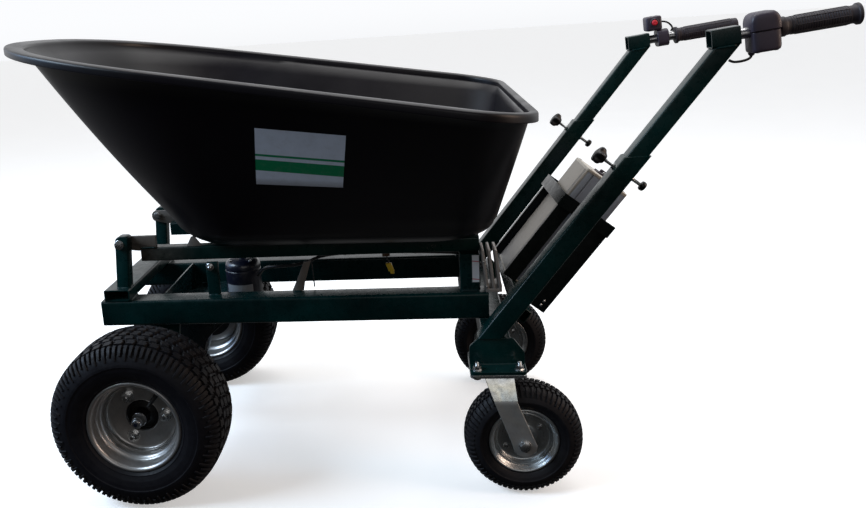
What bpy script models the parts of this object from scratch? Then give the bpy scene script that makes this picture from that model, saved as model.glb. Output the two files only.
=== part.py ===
"""Power wheelbarrow: two powered turf wheels in front, two swivel casters behind,
a tipping poly tub, telescopic handles and a battery cradle between them.

Lengths below are millimetres in the chassis frame: X runs from the dump end (-X) to the
operator's handles (+X), Y across (the operator's left is -Y), Z up from the ground. X_SHIFT
moves the origin to the middle of the machine's footprint. Meshes are made in metres.
"""
import math
import bpy
import bmesh
from mathutils import Vector

for old in list(bpy.data.objects):
    bpy.data.objects.remove(old, do_unlink=True)

# ---------------------------------------------------------------- driving dimensions (mm)
X_SHIFT = 604.744           # footprint centre, measured from the drive axle
GAP = 0.3                  # gap between touching pieces

RAIL_W, RAIL_H, RAIL_WALL = 60.0, 63.0, 3.0
RAIL_Y, RAIL_Z0 = 157.0, 369.0
RAIL_X0, RAIL_X1 = -126.0, 805.0

AXLE_Z, AXLE_R = 203.0, 12.5
DRIVE_Y, DRIVE_R = 327.0, 203.0
TYRE_HALF = 82.0

CASTER_Y, CASTER_PIVOT_X, CASTER_X = 289.0, 812.0, 867.0
CASTER_R, CASTER_HALF = 130.0, 43.0

PIVOT_X, PIVOT_Z, PIN_R = -66.0, 571.0, 6.0
SUB_Y0, SUB_Y1, SUB_Z0, SUB_Z1 = 107.0, 141.0, 519.0, 553.0

# tub: front, rear and half-width of the rim, and its sloping rim plane z = A + B x
RIM_A, RIM_B = 1013.6, -0.168
RIM_X0, RIM_X1 = -288.0, 895.0
RIM_W0, RIM_W1, RIM_XN, RIM_P, RIM_RC = 467.0, 492.0, 195.0, 2.42, 148.0
TUB_T, LIP_W, LIP_H = 6.0, 34.0, 22.0
LIP_REAR = 12.0            # the rear wall stands out nearly to the rim's edge
FLOOR_Z = 553.6
FLOOR_X0, FLOOR_X1, FLOOR_W0, FLOOR_W1 = 97.0, 815.0, 204.0, 222.0
TUB_N = 11                 # points in each quarter of the tub's outline

# handles: a point on the sleeve's centre line, and the line's direction in X-Z
H_X, H_Z, H_ANGLE, H_Y = 794.6, 365.0, math.radians(52.3), 289.0
SLEEVE, SLEEVE_WALL, SLEEVE_TOP = 42.0, 3.0, 509.0
TUBE, TUBE_WALL, TUBE_S0 = 35.2, 2.6, 190.0
CLAMP_S = 450.0
BAR_X, BAR_Z, BAR_ANGLE, BAR_R = 1364.0, 992.0, math.atan(0.117), 11.0
RIGHT_DROP = 35.0          # the right handle is set this much lower in its sleeve

BAT_S0, BAT_S1, BAT_M0, BAT_M1, BAT_Y = 96.0, 411.0, -108.0, 3.0, 80.0

HU = Vector((math.cos(H_ANGLE), math.sin(H_ANGLE)))      # up along the handle, in X-Z
HN = Vector((-HU.y, HU.x))                               # across it, towards the tub
BU = Vector((math.cos(BAR_ANGLE), math.sin(BAR_ANGLE)))  # along the hand grip, rearwards
BN = Vector((-BU.y, BU.x))


# ---------------------------------------------------------------- materials
def material(name, colour, rough, metal=0.0):
    mat = bpy.data.materials.new(name)
    mat.use_nodes = True
    shader = mat.node_tree.nodes["Principled BSDF"]
    shader.inputs["Base Color"].default_value = (*colour, 1.0)
    shader.inputs["Roughness"].default_value = rough
    shader.inputs["Metallic"].default_value = metal
    return mat


GREEN = material("green_powder_coat", (0.006, 0.030, 0.026), 0.35)
POLY = material("black_poly", (0.012, 0.010, 0.014), 0.38)
RUBBER = material("tyre_rubber", (0.012, 0.012, 0.013), 0.7)
RIMS = material("silver_rim", (0.42, 0.43, 0.45), 0.35, 0.9)
ZINC = material("zinc", (0.60, 0.62, 0.63), 0.3, 1.0)
STEEL = material("bare_steel", (0.40, 0.40, 0.41), 0.4, 1.0)
BLACK = material("black_steel", (0.010, 0.011, 0.012), 0.4)
ALU = material("battery_aluminium", (0.45, 0.46, 0.46), 0.4, 0.9)
PLASTIC = material("black_plastic", (0.022, 0.020, 0.024), 0.5)
RED = material("red_button", (0.60, 0.02, 0.04), 0.35)
MOTOR = material("motor_paint", (0.008, 0.010, 0.022), 0.3)


# ---------------------------------------------------------------- modelling helpers
def chassis_point(x, y, z):
    return (x, y, z)


def handle_point(s, m, y, side=-1, drop=0.0):
    """s along the handle tube, m across it (towards the tub), y from the tube's centre plane."""
    p = HU * (s - drop) + HN * m
    return (H_X + p.x, side * H_Y + y, H_Z + p.y)


def middle_point(s, m, y):
    p = HU * s + HN * m
    return (H_X + p.x, y, H_Z + p.y)


def bar_point(t, m, y, side=-1, drop=0.0):
    """t along the hand grip from its inner end rearwards, m above it, y beside it."""
    p = BU * t + BN * m - HU * drop
    return (BAR_X + p.x, side * H_Y + y, BAR_Z + p.y)


def skin(rings, closed=False):
    """Joins rings of equal length with quads; a closed run is a ring itself, an open run is capped."""
    bm = bmesh.new()
    loops = [[bm.verts.new(Vector(p)) for p in ring] for ring in rings]
    count = len(loops[0])
    runs = len(loops) if closed else len(loops) - 1
    for i in range(runs):
        a, b = loops[i], loops[(i + 1) % len(loops)]
        for k in range(count):
            j = (k + 1) % count
            bm.faces.new((a[k], a[j], b[j], b[k]))
    if not closed:
        bm.faces.new(loops[0])
        bm.faces.new(list(reversed(loops[-1])))
    return bm


def block(x0, x1, y0, y1, z0, z1, bevel=0.0, axis=None, place=chassis_point):
    """A box; bevel rounds all edges, or only those along the given axis."""
    bm = bmesh.new()
    bmesh.ops.create_cube(bm, size=1.0)
    for v in bm.verts:
        v.co = Vector((x0 + (v.co.x + 0.5) * (x1 - x0), y0 + (v.co.y + 0.5) * (y1 - y0),
                       z0 + (v.co.z + 0.5) * (z1 - z0)))
    if bevel:
        edges = [e for e in bm.edges if axis is None
                 or abs((e.verts[1].co - e.verts[0].co).normalized()[axis]) > 0.9]
        bmesh.ops.bevel(bm, geom=edges, offset=bevel, segments=1, affect='EDGES')
    for v in bm.verts:
        v.co = Vector(place(*v.co))
    return bm


def prism(outline, y0, y1, place=chassis_point):
    """An outline in X-Z, or in the handle's s-m, extruded across from y0 to y1."""
    bm = bmesh.new()
    face = bm.faces.new([bm.verts.new(Vector((p[0], y0, p[1]))) for p in outline])
    made = bmesh.ops.extrude_face_region(bm, geom=[face])
    for v in [g for g in made["geom"] if isinstance(g, bmesh.types.BMVert)]:
        v.co.y = y1
    for v in bm.verts:
        v.co = Vector(place(v.co.x, v.co.y, v.co.z))
    return bm


def square(half_a, half_b, corner):
    """A box section with cut corners."""
    c = corner
    return [(half_a, -half_b + c), (half_a, half_b - c), (half_a - c, half_b), (-half_a + c, half_b),
            (-half_a, half_b - c), (-half_a, -half_b + c), (-half_a + c, -half_b), (half_a - c, -half_b)]


def box_tube(p0, p1, a_dir, b_dir, wide_a, wide_b, wall, corner=5.0):
    """An open-ended box tube from p0 to p1, with its section along a_dir and b_dir."""
    p0, p1, a_dir, b_dir = Vector(p0), Vector(p1), Vector(a_dir), Vector(b_dir)
    outer = square(wide_a / 2, wide_b / 2, corner)
    inner = square(wide_a / 2 - wall, wide_b / 2 - wall, max(corner - wall, 1.0))

    def ring(centre, section):
        return [centre + a_dir * a + b_dir * b for a, b in section]
    return skin([ring(p0, outer), ring(p1, outer), ring(p1, inner), ring(p0, inner)], closed=True)


def turned(profile, steps, place, closed=True):
    """A profile of (along, radius) turned about an axis; place maps (along, a, b) to a point."""
    rings = []
    for along, radius in profile:
        rings.append([place(along, radius * math.cos(2 * math.pi * k / steps),
                            radius * math.sin(2 * math.pi * k / steps)) for k in range(steps)])
    return skin(rings, closed=closed)


def about_y(x, y, z):
    return lambda t, a, b: (x + a, y + t, z + b)


def about_z(x, y):
    return lambda t, a, b: (x + a, y + b, t)


def merge(*parts):
    """Puts several shapes in one mesh, for a cutter."""
    bm = bmesh.new()
    for part in parts:
        tmp = bpy.data.meshes.new("tmp")
        part.to_mesh(tmp)
        bm.from_mesh(tmp)
        bpy.data.meshes.remove(tmp)
        part.free()
    return bm


PIVOTS = {}


def pivot(name, x, y, z):
    empty = bpy.data.objects.new(name, None)
    empty.location = ((x - X_SHIFT) / 1000, y / 1000, z / 1000)
    bpy.context.scene.collection.objects.link(empty)
    PIVOTS[name] = empty
    return empty


def add(name, bm, mat, parent=None, smooth=None, cutter=False):
    """Turns a shape in millimetres into an object in metres, with its origin on its joint or in its middle."""
    bmesh.ops.recalc_face_normals(bm, faces=bm.faces)
    for v in bm.verts:
        v.co = Vector(((v.co.x - X_SHIFT) / 1000, v.co.y / 1000, v.co.z / 1000))
    if parent:
        origin = PIVOTS[parent].location.copy()
    else:
        low = Vector([min(v.co[i] for v in bm.verts) for i in range(3)])
        high = Vector([max(v.co[i] for v in bm.verts) for i in range(3)])
        origin = (low + high) / 2
    for v in bm.verts:
        v.co -= origin
    mesh = bpy.data.meshes.new(name)
    bm.to_mesh(mesh)
    bm.free()
    if smooth:
        mesh.shade_smooth()
        mesh.set_sharp_from_angle(angle=math.radians(smooth))
    obj = bpy.data.objects.new(name, mesh)
    bpy.context.scene.collection.objects.link(obj)
    if parent:
        obj.parent = PIVOTS[parent]
    else:
        obj.location = origin
    if mat:
        mesh.materials.append(mat)
    if cutter:
        obj.hide_render = True
        obj.display_type = 'WIRE'
    return obj


def boolean(obj, tool, operation):
    mod = obj.modifiers.new(operation.lower(), 'BOOLEAN')
    mod.operation = operation
    mod.solver = 'EXACT'
    mod.object = tool


# ---------------------------------------------------------------- pivots of the moving bodies
pivot("tub_pivot", PIVOT_X, 0, PIVOT_Z)
pivot("axle_pivot", 0, 0, AXLE_Z)
for side, word in ((-1, "left"), (1, "right")):
    drop = RIGHT_DROP if side > 0 else 0.0
    pivot("swivel_" + word, CASTER_PIVOT_X, side * CASTER_Y, 290)
    pivot("roll_" + word, CASTER_X, side * CASTER_Y, CASTER_R)
    pivot("slide_" + word, *handle_point(400, 0, 0, side, drop))
    pivot("knob_pivot_" + word, *handle_point(CLAMP_S, 40, 0, side))
    pivot("screw_pivot_" + word, *handle_point(CLAMP_S, -40, 0, side))
pivot("twist", *bar_point(0, 0, 0, -1))
pivot("press", *bar_point(-71, 42, -20, 1, RIGHT_DROP))
pivot("battery_slide", *middle_point(BAT_S0, (BAT_M0 + BAT_M1) / 2, 0))

# ---------------------------------------------------------------- chassis
for side, word in ((-1, "left"), (1, "right")):
    zc = RAIL_Z0 + RAIL_H / 2
    add("rail_" + word, box_tube((RAIL_X0, side * RAIL_Y, zc), (RAIL_X1, side * RAIL_Y, zc),
                                 (0, 1, 0), (0, 0, 1), RAIL_W, RAIL_H, RAIL_WALL), GREEN)
add("cross_front", box_tube((-83, -187, 446.8), (-83, 187, 446.8), (1, 0, 0), (0, 0, 1), 64, 29, 3.0, 3.0), GREEN)
# folded plate between the rails: an upright web in front and a shelf behind it, over the gearcase
add("cross_mid", prism([(18, 431.8), (18, 369), (140, 369), (140, 373), (22, 373), (22, 431.8)], -126.7, 126.7), GREEN)
add("rear_beam", box_tube((812, -300, 338.7), (812, 300, 338.7), (1, 0, 0), (0, 0, 1), 60, 60, 3.0), GREEN)

pin_hole = merge(*[turned([(side * 157 - 30, PIN_R + 0.5), (side * 157 + 30, PIN_R + 0.5)], 16,
                          about_y(PIVOT_X, 0, PIVOT_Z), closed=False) for side in (-1, 1)])
pin_cutter = add("pin_hole", pin_hole, None, cutter=True)
for side, word in ((-1, "left"), (1, "right")):
    y0, y1 = sorted((side * 142.0, side * 172.0))
    post = add("pivot_post_" + word,
               prism([(-86, 461.6), (-54, 461.6), (-45, 562), (-42.5, 586), (-47, 591), (-69, 591), (-75, 584)], y0, y1), GREEN)
    boolean(post, pin_cutter, 'DIFFERENCE')
    add("rear_upright_" + word, box_tube((764, side * 140, 432.3), (764, side * 140, 518.6),
                                         (1, 0, 0), (0, 1, 0), 45, 50, 3.0, 3.0), GREEN)

add("motor_bracket", block(136, 166, -151, -139, 432.3, 514, 2.0), GREEN)
add("stay_bar", prism([(343, 432.4), (366, 432.4), (392, 508), (373, 503)], -140, -134), GREEN)

# gearmotor: the can stands on the gearcase, whose front end closes round the axle
add("motor_can", turned([(345, 44), (352, 46), (462, 46), (474, 42), (481, 30)], 20, about_z(192, 0), closed=False),
    MOTOR, smooth=40)
case_outline = [(-4, 368.6), (-4, 300), (-52, 250), (-60, 203), (-40, 158), (0, 143), (44, 160), (62, 206),
                (78, 262), (146, 318), (246, 318), (246, 344.6), (64, 344.6), (58, 368.6)]
case_cutter = add("axle_hole", turned([(-20, AXLE_R + 0.6), (80, AXLE_R + 0.6)], 20, about_y(0, 0, AXLE_Z), closed=False),
                  None, cutter=True)
gearcase = add("gearcase", prism(case_outline, -8, 66), BLACK)
boolean(gearcase, case_cutter, 'DIFFERENCE')

hanger_cutter = add("hanger_hole", merge(*[turned([(side * 157 - 20, AXLE_R + 0.6), (side * 157 + 20, AXLE_R + 0.6)], 20,
                                                  about_y(0, 0, AXLE_Z), closed=False) for side in (-1, 1)]), None, cutter=True)
for side, word in ((-1, "left"), (1, "right")):
    y0, y1 = sorted((side * 150.0, side * 164.0))
    hanger = add("axle_hanger_" + word,
                 prism([(-60, 368.6), (-34, 190), (-22, 170), (22, 170), (34, 190), (60, 368.6)], y0, y1), GREEN)
    boolean(hanger, hanger_cutter, 'DIFFERENCE')

# motor controller: a row of cooling plates on one foot, leaning towards the tub
lean = Vector((-0.11, 0.994))
foot_a = Vector((799, 433))
outline = []
plates, plate_t, pitch, tall = 3, 7.0, 14.5, 92.0
for k in range(plates):
    left = foot_a + Vector((k * pitch, 8))
    outline += [left, left + lean * tall, left + lean * tall + Vector((plate_t, 0)), left + Vector((plate_t, 0))]
outline = [Vector((799, 432.4))] + outline + [Vector((799 + 2 * pitch + plate_t, 432.4))]
add("controller", prism([(p.x, p.y) for p in outline], -184, -112), ALU)

# cable loom: held under the tub from the motor to the controller
def cable(name, points, radius, mat, parent=None, res=2):
    """A cable through the given points, as a bevelled curve with closed ends."""
    curve = bpy.data.curves.new(name, 'CURVE')
    curve.dimensions = '3D'
    curve.bevel_depth = radius / 1000
    curve.bevel_resolution = res
    curve.use_fill_caps = True
    origin = PIVOTS[parent].location.copy() if parent else Vector(((points[0][0] - X_SHIFT) / 1000, points[0][1] / 1000, points[0][2] / 1000))
    spline = curve.splines.new('POLY')
    # corners are cut once, so the cable bends and doesn't kink
    pts = [Vector(p) for p in points]
    smooth_pts = [pts[0]]
    for i in range(len(pts) - 1):
        a, b = pts[i], pts[i + 1]
        if i > 0:
            smooth_pts.append(a.lerp(b, 0.25))
        if i < len(pts) - 2:
            smooth_pts.append(a.lerp(b, 0.75))
    smooth_pts.append(pts[-1])
    spline.points.add(len(smooth_pts) - 1)
    for sp, p in zip(spline.points, smooth_pts):
        q = Vector(((p.x - X_SHIFT) / 1000, p.y / 1000, p.z / 1000)) - origin
        sp.co = (q.x, q.y, q.z, 1.0)
    obj = bpy.data.objects.new(name, curve)
    bpy.context.scene.collection.objects.link(obj)
    curve.materials.append(mat)
    if parent:
        obj.parent = PIVOTS[parent]
    else:
        obj.location = origin
    return obj


cable("loom", [(236, -28, 440), (262, -60, 470), (300, -88, 480), (362, -94, 486), (425, -96, 511), (560, -96, 512),
               (700, -98, 508), (750, -98, 503), (780, -97, 485), (795, -99, 474), (797, -108, 470)], 4.0, PLASTIC)

# ---------------------------------------------------------------- drive axle, wheels
add("axle", turned([(-381, 10), (-378, AXLE_R), (-374.6, AXLE_R), (-374.4, 19), (-352, 19), (-351.8, AXLE_R),
                    (351.8, AXLE_R), (352, 19), (374.4, 19), (374.6, AXLE_R), (378, AXLE_R), (381, 10)],
                   16, about_y(0, 0, AXLE_Z), closed=False), STEEL, parent="axle_pivot", smooth=35)
for side, word in ((-1, "left"), (1, "right")):
    out = side            # outboard is +t times side
    place = about_y(0, side * DRIVE_Y, AXLE_Z)

    def wheel_place(t, a, b, place=place, out=out):
        return place(t * out, a, b)
    # hub: bore on the axle, flange behind the rim's disc
    add("hub_" + word, turned([(-62, 12.9), (24, 12.9), (24, 26), (-0.4, 32), (-0.4, 62), (-9, 62), (-10, 32), (-62, 30)],
                              16, wheel_place), STEEL, parent="axle_pivot", smooth=35)
    # rim: drop-centre barrel with rolled lips and a disc on the middle plane
    add("rim_" + word, turned([(0, 38.3), (6, 38.3), (6, 84), (40, 88), (64, 101), (68, 112), (65, 113), (60, 105),
                               (36, 93), (0, 90), (-36, 93), (-60, 105), (-65, 113), (-68, 112), (-64, 101), (-40, 88), (0, 84)],
                              24, wheel_place), RIMS, parent="axle_pivot", smooth=35)
    # tyre: open casing with its beads on the rim
    add("tyre_" + word, turned([(58.5, 105.5), (63.5, 114), (74, 124), (82, 150), (80, 180), (66, 197), (36, DRIVE_R), (-36, DRIVE_R),
                                (-66, 197), (-80, 180), (-82, 150), (-74, 124), (-63.5, 114), (-58.5, 105.5),
                                (-56, 118), (-73, 150), (-60, 187), (60, 187), (73, 150), (56, 118)],
                               28, wheel_place), RUBBER, parent="axle_pivot", smooth=35)

# ---------------------------------------------------------------- casters
for side, word in ((-1, "left"), (1, "right")):
    cy = side * CASTER_Y
    out = side
    # base plate under the beam's end, with an upright gusset plate outboard of the beam
    o0, o1 = cy - out * 60, cy + out * 60
    plate_in, plate_out = cy - out * 60, cy + out * 60
    g0, g1 = side * 300.3, side * 306.3

    def mount_ring(x, top_wide):
        # section across Y at x: base plate with the gusset standing on it
        z0, z1, zt = 300.6, 308.3, top_wide
        return [(x, plate_in, z0), (x, plate_out, z0), (x, plate_out, z1), (x, g1, z1), (x, g1, zt),
                (x, g0, zt), (x, g0, z1), (x, plate_in, z1)]
    add("caster_mount_" + word, skin([mount_ring(752, 352), mount_ring(770, 368.6), mount_ring(848, 368.6), mount_ring(872, 336)]),
        GREEN)
    add("caster_plate_" + word, block(752, 872, cy - 60, cy + 60, 293.0, 300.3, 3.0, 2), ZINC)
    # fork: one bent strip, wide at the top and drawn back to the wheel's axle
    legs = [(56, 104, 858, 876), (56, 112, 848, 886), (56, 130, 841, 893), (56, 232, 803, 852), (41, 276, 786, 847),
            (34, 292.6, 781, 846)]
    inner = [(51, 104), (51, 112), (51, 130), (51, 231), (36.5, 272), (31, 286)]
    strip = []
    for (yo, zo, xf, xr), (yi, zi) in zip(legs, inner):
        strip.append((yo, zo, yi, zi, xf, xr))
    for yo, zo, yi, zi, xf, xr in reversed(strip[:]):
        strip.append((-yo, zo, -yi, zi, xf, xr))
    rings = [[(xf, cy + yo, zo), (xr, cy + yo, zo), (xr, cy + yi, zi), (xf, cy + yi, zi)] for yo, zo, yi, zi, xf, xr in strip]
    fork = add("caster_fork_" + word, skin(rings), ZINC, parent="swivel_" + word)
    # the wheel's axle bolt is held in the fork
    bolt = add("bolt_shape_" + word, turned([(-66, 9), (-64, 12), (-54, 12), (-53.9, 7.9), (53.9, 7.9), (54, 12), (64, 12), (66, 9)],
                                            12, about_y(CASTER_X, cy, CASTER_R), closed=False), None, cutter=True)
    boolean(fork, bolt, 'UNION')
    place = about_y(CASTER_X, cy, CASTER_R)
    add("caster_rim_" + word, turned([(-46, 8.5), (46, 8.5), (46, 17), (10, 21), (6, 56), (24, 62), (34, 72), (31, 75), (20, 66),
                                      (-20, 66), (-31, 75), (-34, 72), (-24, 62), (-6, 56), (-10, 21), (-46, 17)],
                                     20, place), RIMS, parent="roll_" + word, smooth=35)
    add("caster_tyre_" + word, turned([(30, 76.5), (38, 86), (CASTER_HALF, 100), (40, 118), (20, CASTER_R), (-20, CASTER_R), (-40, 118),
                                       (-CASTER_HALF, 100), (-38, 86), (-30, 76.5), (-35, 100), (-18, 119), (18, 119), (35, 100)],
                                      24, place), RUBBER, parent="roll_" + word, smooth=35)


# ---------------------------------------------------------------- tub
def tub_outline(inset, drop):
    """The tub's outline in plan, inset from the rim, at a depth below the rim: a blunt nose, nearly straight sides, round rear corners."""
    k = drop
    def mix(a, b):
        return a + (b - a) * k
    x0 = mix(RIM_X0 + LIP_W, FLOOR_X0) + (inset - LIP_W)
    past = inset - LIP_W
    x1 = mix(RIM_X1 - LIP_REAR, FLOOR_X1) - (past if past > 0 else past * LIP_REAR / LIP_W)
    w0 = mix(RIM_W0 - LIP_W, FLOOR_W0) - (inset - LIP_W)
    w1 = mix(RIM_W1 - LIP_W, FLOOR_W1) - (inset - LIP_W)
    xn = mix(RIM_XN, 250.0)
    rc = mix(RIM_RC - LIP_W, 95.0)
    if inset < LIP_W:
        rc = rc + (LIP_W - inset)
    half = []
    for i in range(TUB_N):
        a = math.pi / 2 * i / TUB_N
        half.append((xn - (xn - x0) * math.cos(a) ** (2 / RIM_P), -w0 * math.sin(a) ** (2 / RIM_P)))
    for i in range(4):
        f = i / 4
        half.append((xn + (x1 - rc - xn) * f, -(w0 + (w1 - w0) * f)))
    for i in range(6):
        a = math.pi / 2 * i / 5
        half.append((x1 - rc + rc * math.sin(a), -(w1 - rc + rc * math.cos(a))))
    other = [(x, -y) for x, y in reversed(half[1:])]
    return half + other


def tub_ring(inset, drop, down=0.0, floor=FLOOR_Z):
    """drop 0 is the rim plane and 1 the floor; down lowers the ring along Z."""
    pts = []
    for x, y in tub_outline(inset, drop):
        rim = RIM_A + RIM_B * x
        pts.append((x, y, rim + (floor - rim) * drop - down))
    return pts


def bottom_ring(inset, z):
    return [(x, y, z) for x, y in tub_outline(inset, 1.0)]


T = TUB_T
outer = [bottom_ring(LIP_W + 64, FLOOR_Z), bottom_ring(LIP_W + 21, FLOOR_Z + 14), tub_ring(LIP_W - 1, 0.88),
         tub_ring(LIP_W, 0.5), tub_ring(LIP_W, 0.0, 18), tub_ring(LIP_W - 5, 0.0, T + 2), tub_ring(T + 4, 0.0, T), tub_ring(T, 0.0, T + 6),
         tub_ring(T, 0.0, LIP_H)]
inner = [tub_ring(0, 0.0, LIP_H), tub_ring(0, 0.0, 7), tub_ring(5, 0.0, 0), tub_ring(LIP_W - 4, 0.0, 0), tub_ring(LIP_W + T, 0.0, 10),
         tub_ring(LIP_W + T, 0.5), tub_ring(LIP_W + T - 1, 0.88), bottom_ring(LIP_W + T + 21, FLOOR_Z + 14 + T), bottom_ring(LIP_W + T + 62, FLOOR_Z + T)]
add("tub_shell", skin(outer + inner), POLY, parent="tub_pivot", smooth=35)

# tipping subframe under the tub
for side, word in ((-1, "left"), (1, "right")):
    yc = side * (SUB_Y0 + SUB_Y1) / 2
    zc = (SUB_Z0 + SUB_Z1) / 2
    add("subframe_rail_" + word, box_tube((-26, yc, zc), (788, yc, zc), (0, 1, 0), (0, 0, 1),
                                          SUB_Y1 - SUB_Y0, SUB_Z1 - SUB_Z0, 2.5, 4.0), GREEN, parent="tub_pivot")
    # arm from the rail's front end to the post, with its pivot pin
    y0, y1 = sorted((side * 133.6, side * 141.6))
    arm = add("pivot_arm_" + word, prism([(-82, 556), (-84, 574), (-76, 584), (16, 584), (16, 553.4), (-26.4, 553.4),
                                          (-26.4, 546), (-46, 548)], y0, y1), STEEL, parent="tub_pivot")
    pin = add("pin_shape_" + word, turned([(181, 8), (180, 10.5), (172.6, 10.5), (172.4, PIN_R), (124, PIN_R)] if side > 0 else
                                          [(-181, 8), (-180, 10.5), (-172.6, 10.5), (-172.4, PIN_R), (-124, PIN_R)],
                                          12, about_y(PIVOT_X, 0, PIVOT_Z), closed=False), None, cutter=True)
    boolean(arm, pin, 'UNION')
add("subframe_cross", box_tube((752, -106.7, 536), (752, 106.7, 536), (1, 0, 0), (0, 0, 1), 34, 30, 2.5, 3.0), GREEN,
    parent="tub_pivot")

# ---------------------------------------------------------------- handles
for side, word in ((-1, "left"), (1, "right")):
    drop = RIGHT_DROP if side > 0 else 0.0
    slide = "slide_" + word

    # sleeve: cut level at both ends, and it stands on the rear beam
    def sleeve_ring(section, bottom, side=side):
        ring = []
        for m, y in section:
            level = 369.0 if bottom else H_Z + SLEEVE_TOP * HU.y - SLEEVE / 2 * HN.y
            s = (level - H_Z - m * HN.y) / HU.y
            ring.append(handle_point(s, m, y, side))
        return ring
    h = SLEEVE / 2
    so, si = square(h, h, 4.0), square(h - SLEEVE_WALL, h - SLEEVE_WALL, 1.5)
    sleeve = add("sleeve_" + word, skin([sleeve_ring(so, True), sleeve_ring(so, False), sleeve_ring(si, False), sleeve_ring(si, True)],
                                        closed=True), GREEN)
    screw_hole = add("screw_hole_" + word, turned([(-30, 4.5), (30, 4.5)], 12,
                                                  lambda t, a, b, side=side: handle_point(CLAMP_S + a, t, b, side), closed=False),
                     None, cutter=True)
    boolean(sleeve, screw_hole, 'DIFFERENCE')

    # sliding tube: its top is cut to meet the underside of the short level tube
    def tube_ring(section, top, side=side, drop=drop):
        ring = []
        for m, y in section:
            if top:
                p0 = Vector((BAR_X, BAR_Z)) + BN * (-TUBE / 2 - GAP)
                # where the line H + HN*m + HU*s crosses the level tube's underside
                base = Vector((H_X, H_Z)) + HN * m
                s = (p0 - base).dot(BN) / HU.dot(BN)
            else:
                s = TUBE_S0
            ring.append(handle_point(s, m, y, side, drop))
        return ring
    h = TUBE / 2
    to, ti = square(h, h, 3.0), square(h - TUBE_WALL, h - TUBE_WALL, 1.0)
    add("handle_tube_" + word, skin([tube_ring(to, False), tube_ring(to, True), tube_ring(ti, True), tube_ring(ti, False)],
                                    closed=True), GREEN, parent=slide)

    # level tube with the round hand bar fixed in it
    def bar_ring(t, section, side=side, drop=drop):
        return [bar_point(t, m, y, side, drop) for m, y in section]
    steps = 16
    def circle(r):
        return [(r * math.cos(2 * math.pi * (k + 0.5) / steps), r * math.sin(2 * math.pi * (k + 0.5) / steps)) for k in range(steps)]
    def rounded(half_side):
        pts = []
        for k in range(steps):
            a = 2 * math.pi * (k + 0.5) / steps
            reach = min(half_side / max(abs(math.cos(a)), abs(math.sin(a))), half_side * 1.28)
            pts.append((reach * math.cos(a), reach * math.sin(a)))
        return pts
    add("handle_bar_" + word, skin([bar_ring(-139, rounded(h)), bar_ring(-85, rounded(h)), bar_ring(-84.6, circle(BAR_R)),
                                    bar_ring(128, circle(BAR_R))]), STEEL, parent=slide, smooth=35)

    # star knob on the tub side, hand screw on the operator's side
    def across(t, a, b, side=side):
        return handle_point(CLAMP_S + a, t, b, side)
    add("clamp_knob_" + word, turned([(18.1, 3.5), (19, 4), (46, 4), (46.2, 10), (52, 19), (64, 19), (69, 9)], 10, across, closed=False),
        PLASTIC, parent="knob_pivot_" + word, smooth=35)
    add("clamp_screw_" + word, turned([(-18.1, 3.5), (-19, 4), (-46, 4), (-46.2, 9), (-55, 9), (-57, 6)], 10, across, closed=False),
        BLACK, parent="screw_pivot_" + word, smooth=35)

# throttle housing: a two-part block round the bar, and its twist grip
steps = 16


def bore_ring(radius):
    return [(radius * math.cos(2 * math.pi * (k + 0.5) / steps), radius * math.sin(2 * math.pi * (k + 0.5) / steps)) for k in range(steps)]


def block_ring(up, down, wide, corner=1.3):
    pts = []
    for k in range(steps):
        a = 2 * math.pi * (k + 0.5) / steps
        c, s = math.cos(a), math.sin(a)
        high = up if c > 0 else down
        reach = min(1.0 / max(abs(c) / high, abs(s) / wide), corner * min(high, wide))
        pts.append((reach * c, reach * s))
    return pts


def collar(t0, t1, outer_ring, inner_ring, side, drop=0.0):
    def ring(t, section):
        return [bar_point(t, m, y, side, drop) for m, y in section]
    return skin([ring(t0, outer_ring), ring(t1, outer_ring), ring(t1, inner_ring), ring(t0, inner_ring)], closed=True)


add("throttle_housing", collar(-68, -13, block_ring(36, 40, 27), bore_ring(BAR_R + 0.4), -1), PLASTIC, parent="slide_left", smooth=35)


def on_bar(side, drop=0.0):
    return lambda t, a, b: bar_point(t, a, b, side, drop)


add("throttle_grip", turned([(-12.5, BAR_R + 0.5), (-12.5, 19), (0, 19), (1, 17.5), (124, 17.5), (125, 20.5), (132, 20.5),
                             (132, BAR_R + 0.5)], 16, on_bar(-1)), RUBBER, parent="twist", smooth=35)
add("hand_grip", turned([(-20, BAR_R + 0.4), (-20, 21), (-13, 21), (-12, 17.5), (133, 17.5), (133, BAR_R + 0.4)], 16,
                        on_bar(1, RIGHT_DROP)), RUBBER, parent="slide_right", smooth=35)

# switch pod: a clamp ring on the bar with a small box above it, and a push button in its inner face
pod = add("switch_pod", collar(-65, -38, block_ring(22, 21, 22, 1.08), bore_ring(BAR_R + 0.4), 1, RIGHT_DROP), PLASTIC,
          parent="slide_right", smooth=35)
pod_box = add("pod_box_shape", block(-91, -52, -20, 20, 21, 58, 4.0, None,
                                     lambda t, y, m: bar_point(t, m, y, 1, RIGHT_DROP)), None, cutter=True)
button_hole = add("button_hole", turned([(-26, 8.0), (-8, 8.0)], 12,
                                        lambda t, a, b: bar_point(-71 + a, 42 + b, t, 1, RIGHT_DROP), closed=False), None, cutter=True)
boolean(pod, pod_box, 'UNION')
boolean(pod, button_hole, 'DIFFERENCE')
add("red_button", turned([(-24, 5.5), (-22.5, 7.2), (-11.5, 7.2)], 12,
                         lambda t, a, b: bar_point(-71 + a, 42 + b, t, 1, RIGHT_DROP), closed=False), RED, parent="press", smooth=35)

# throttle cable: from under the housing into the handle tube's rear face
cable("throttle_cable", [bar_point(-63, -40.6, 0), bar_point(-64, -46, 0), bar_point(-76, -52, 0), bar_point(-96, -51.5, 0),
                         bar_point(-105, -46.2, 0)], 2.5, PLASTIC, parent="slide_left")

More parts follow.
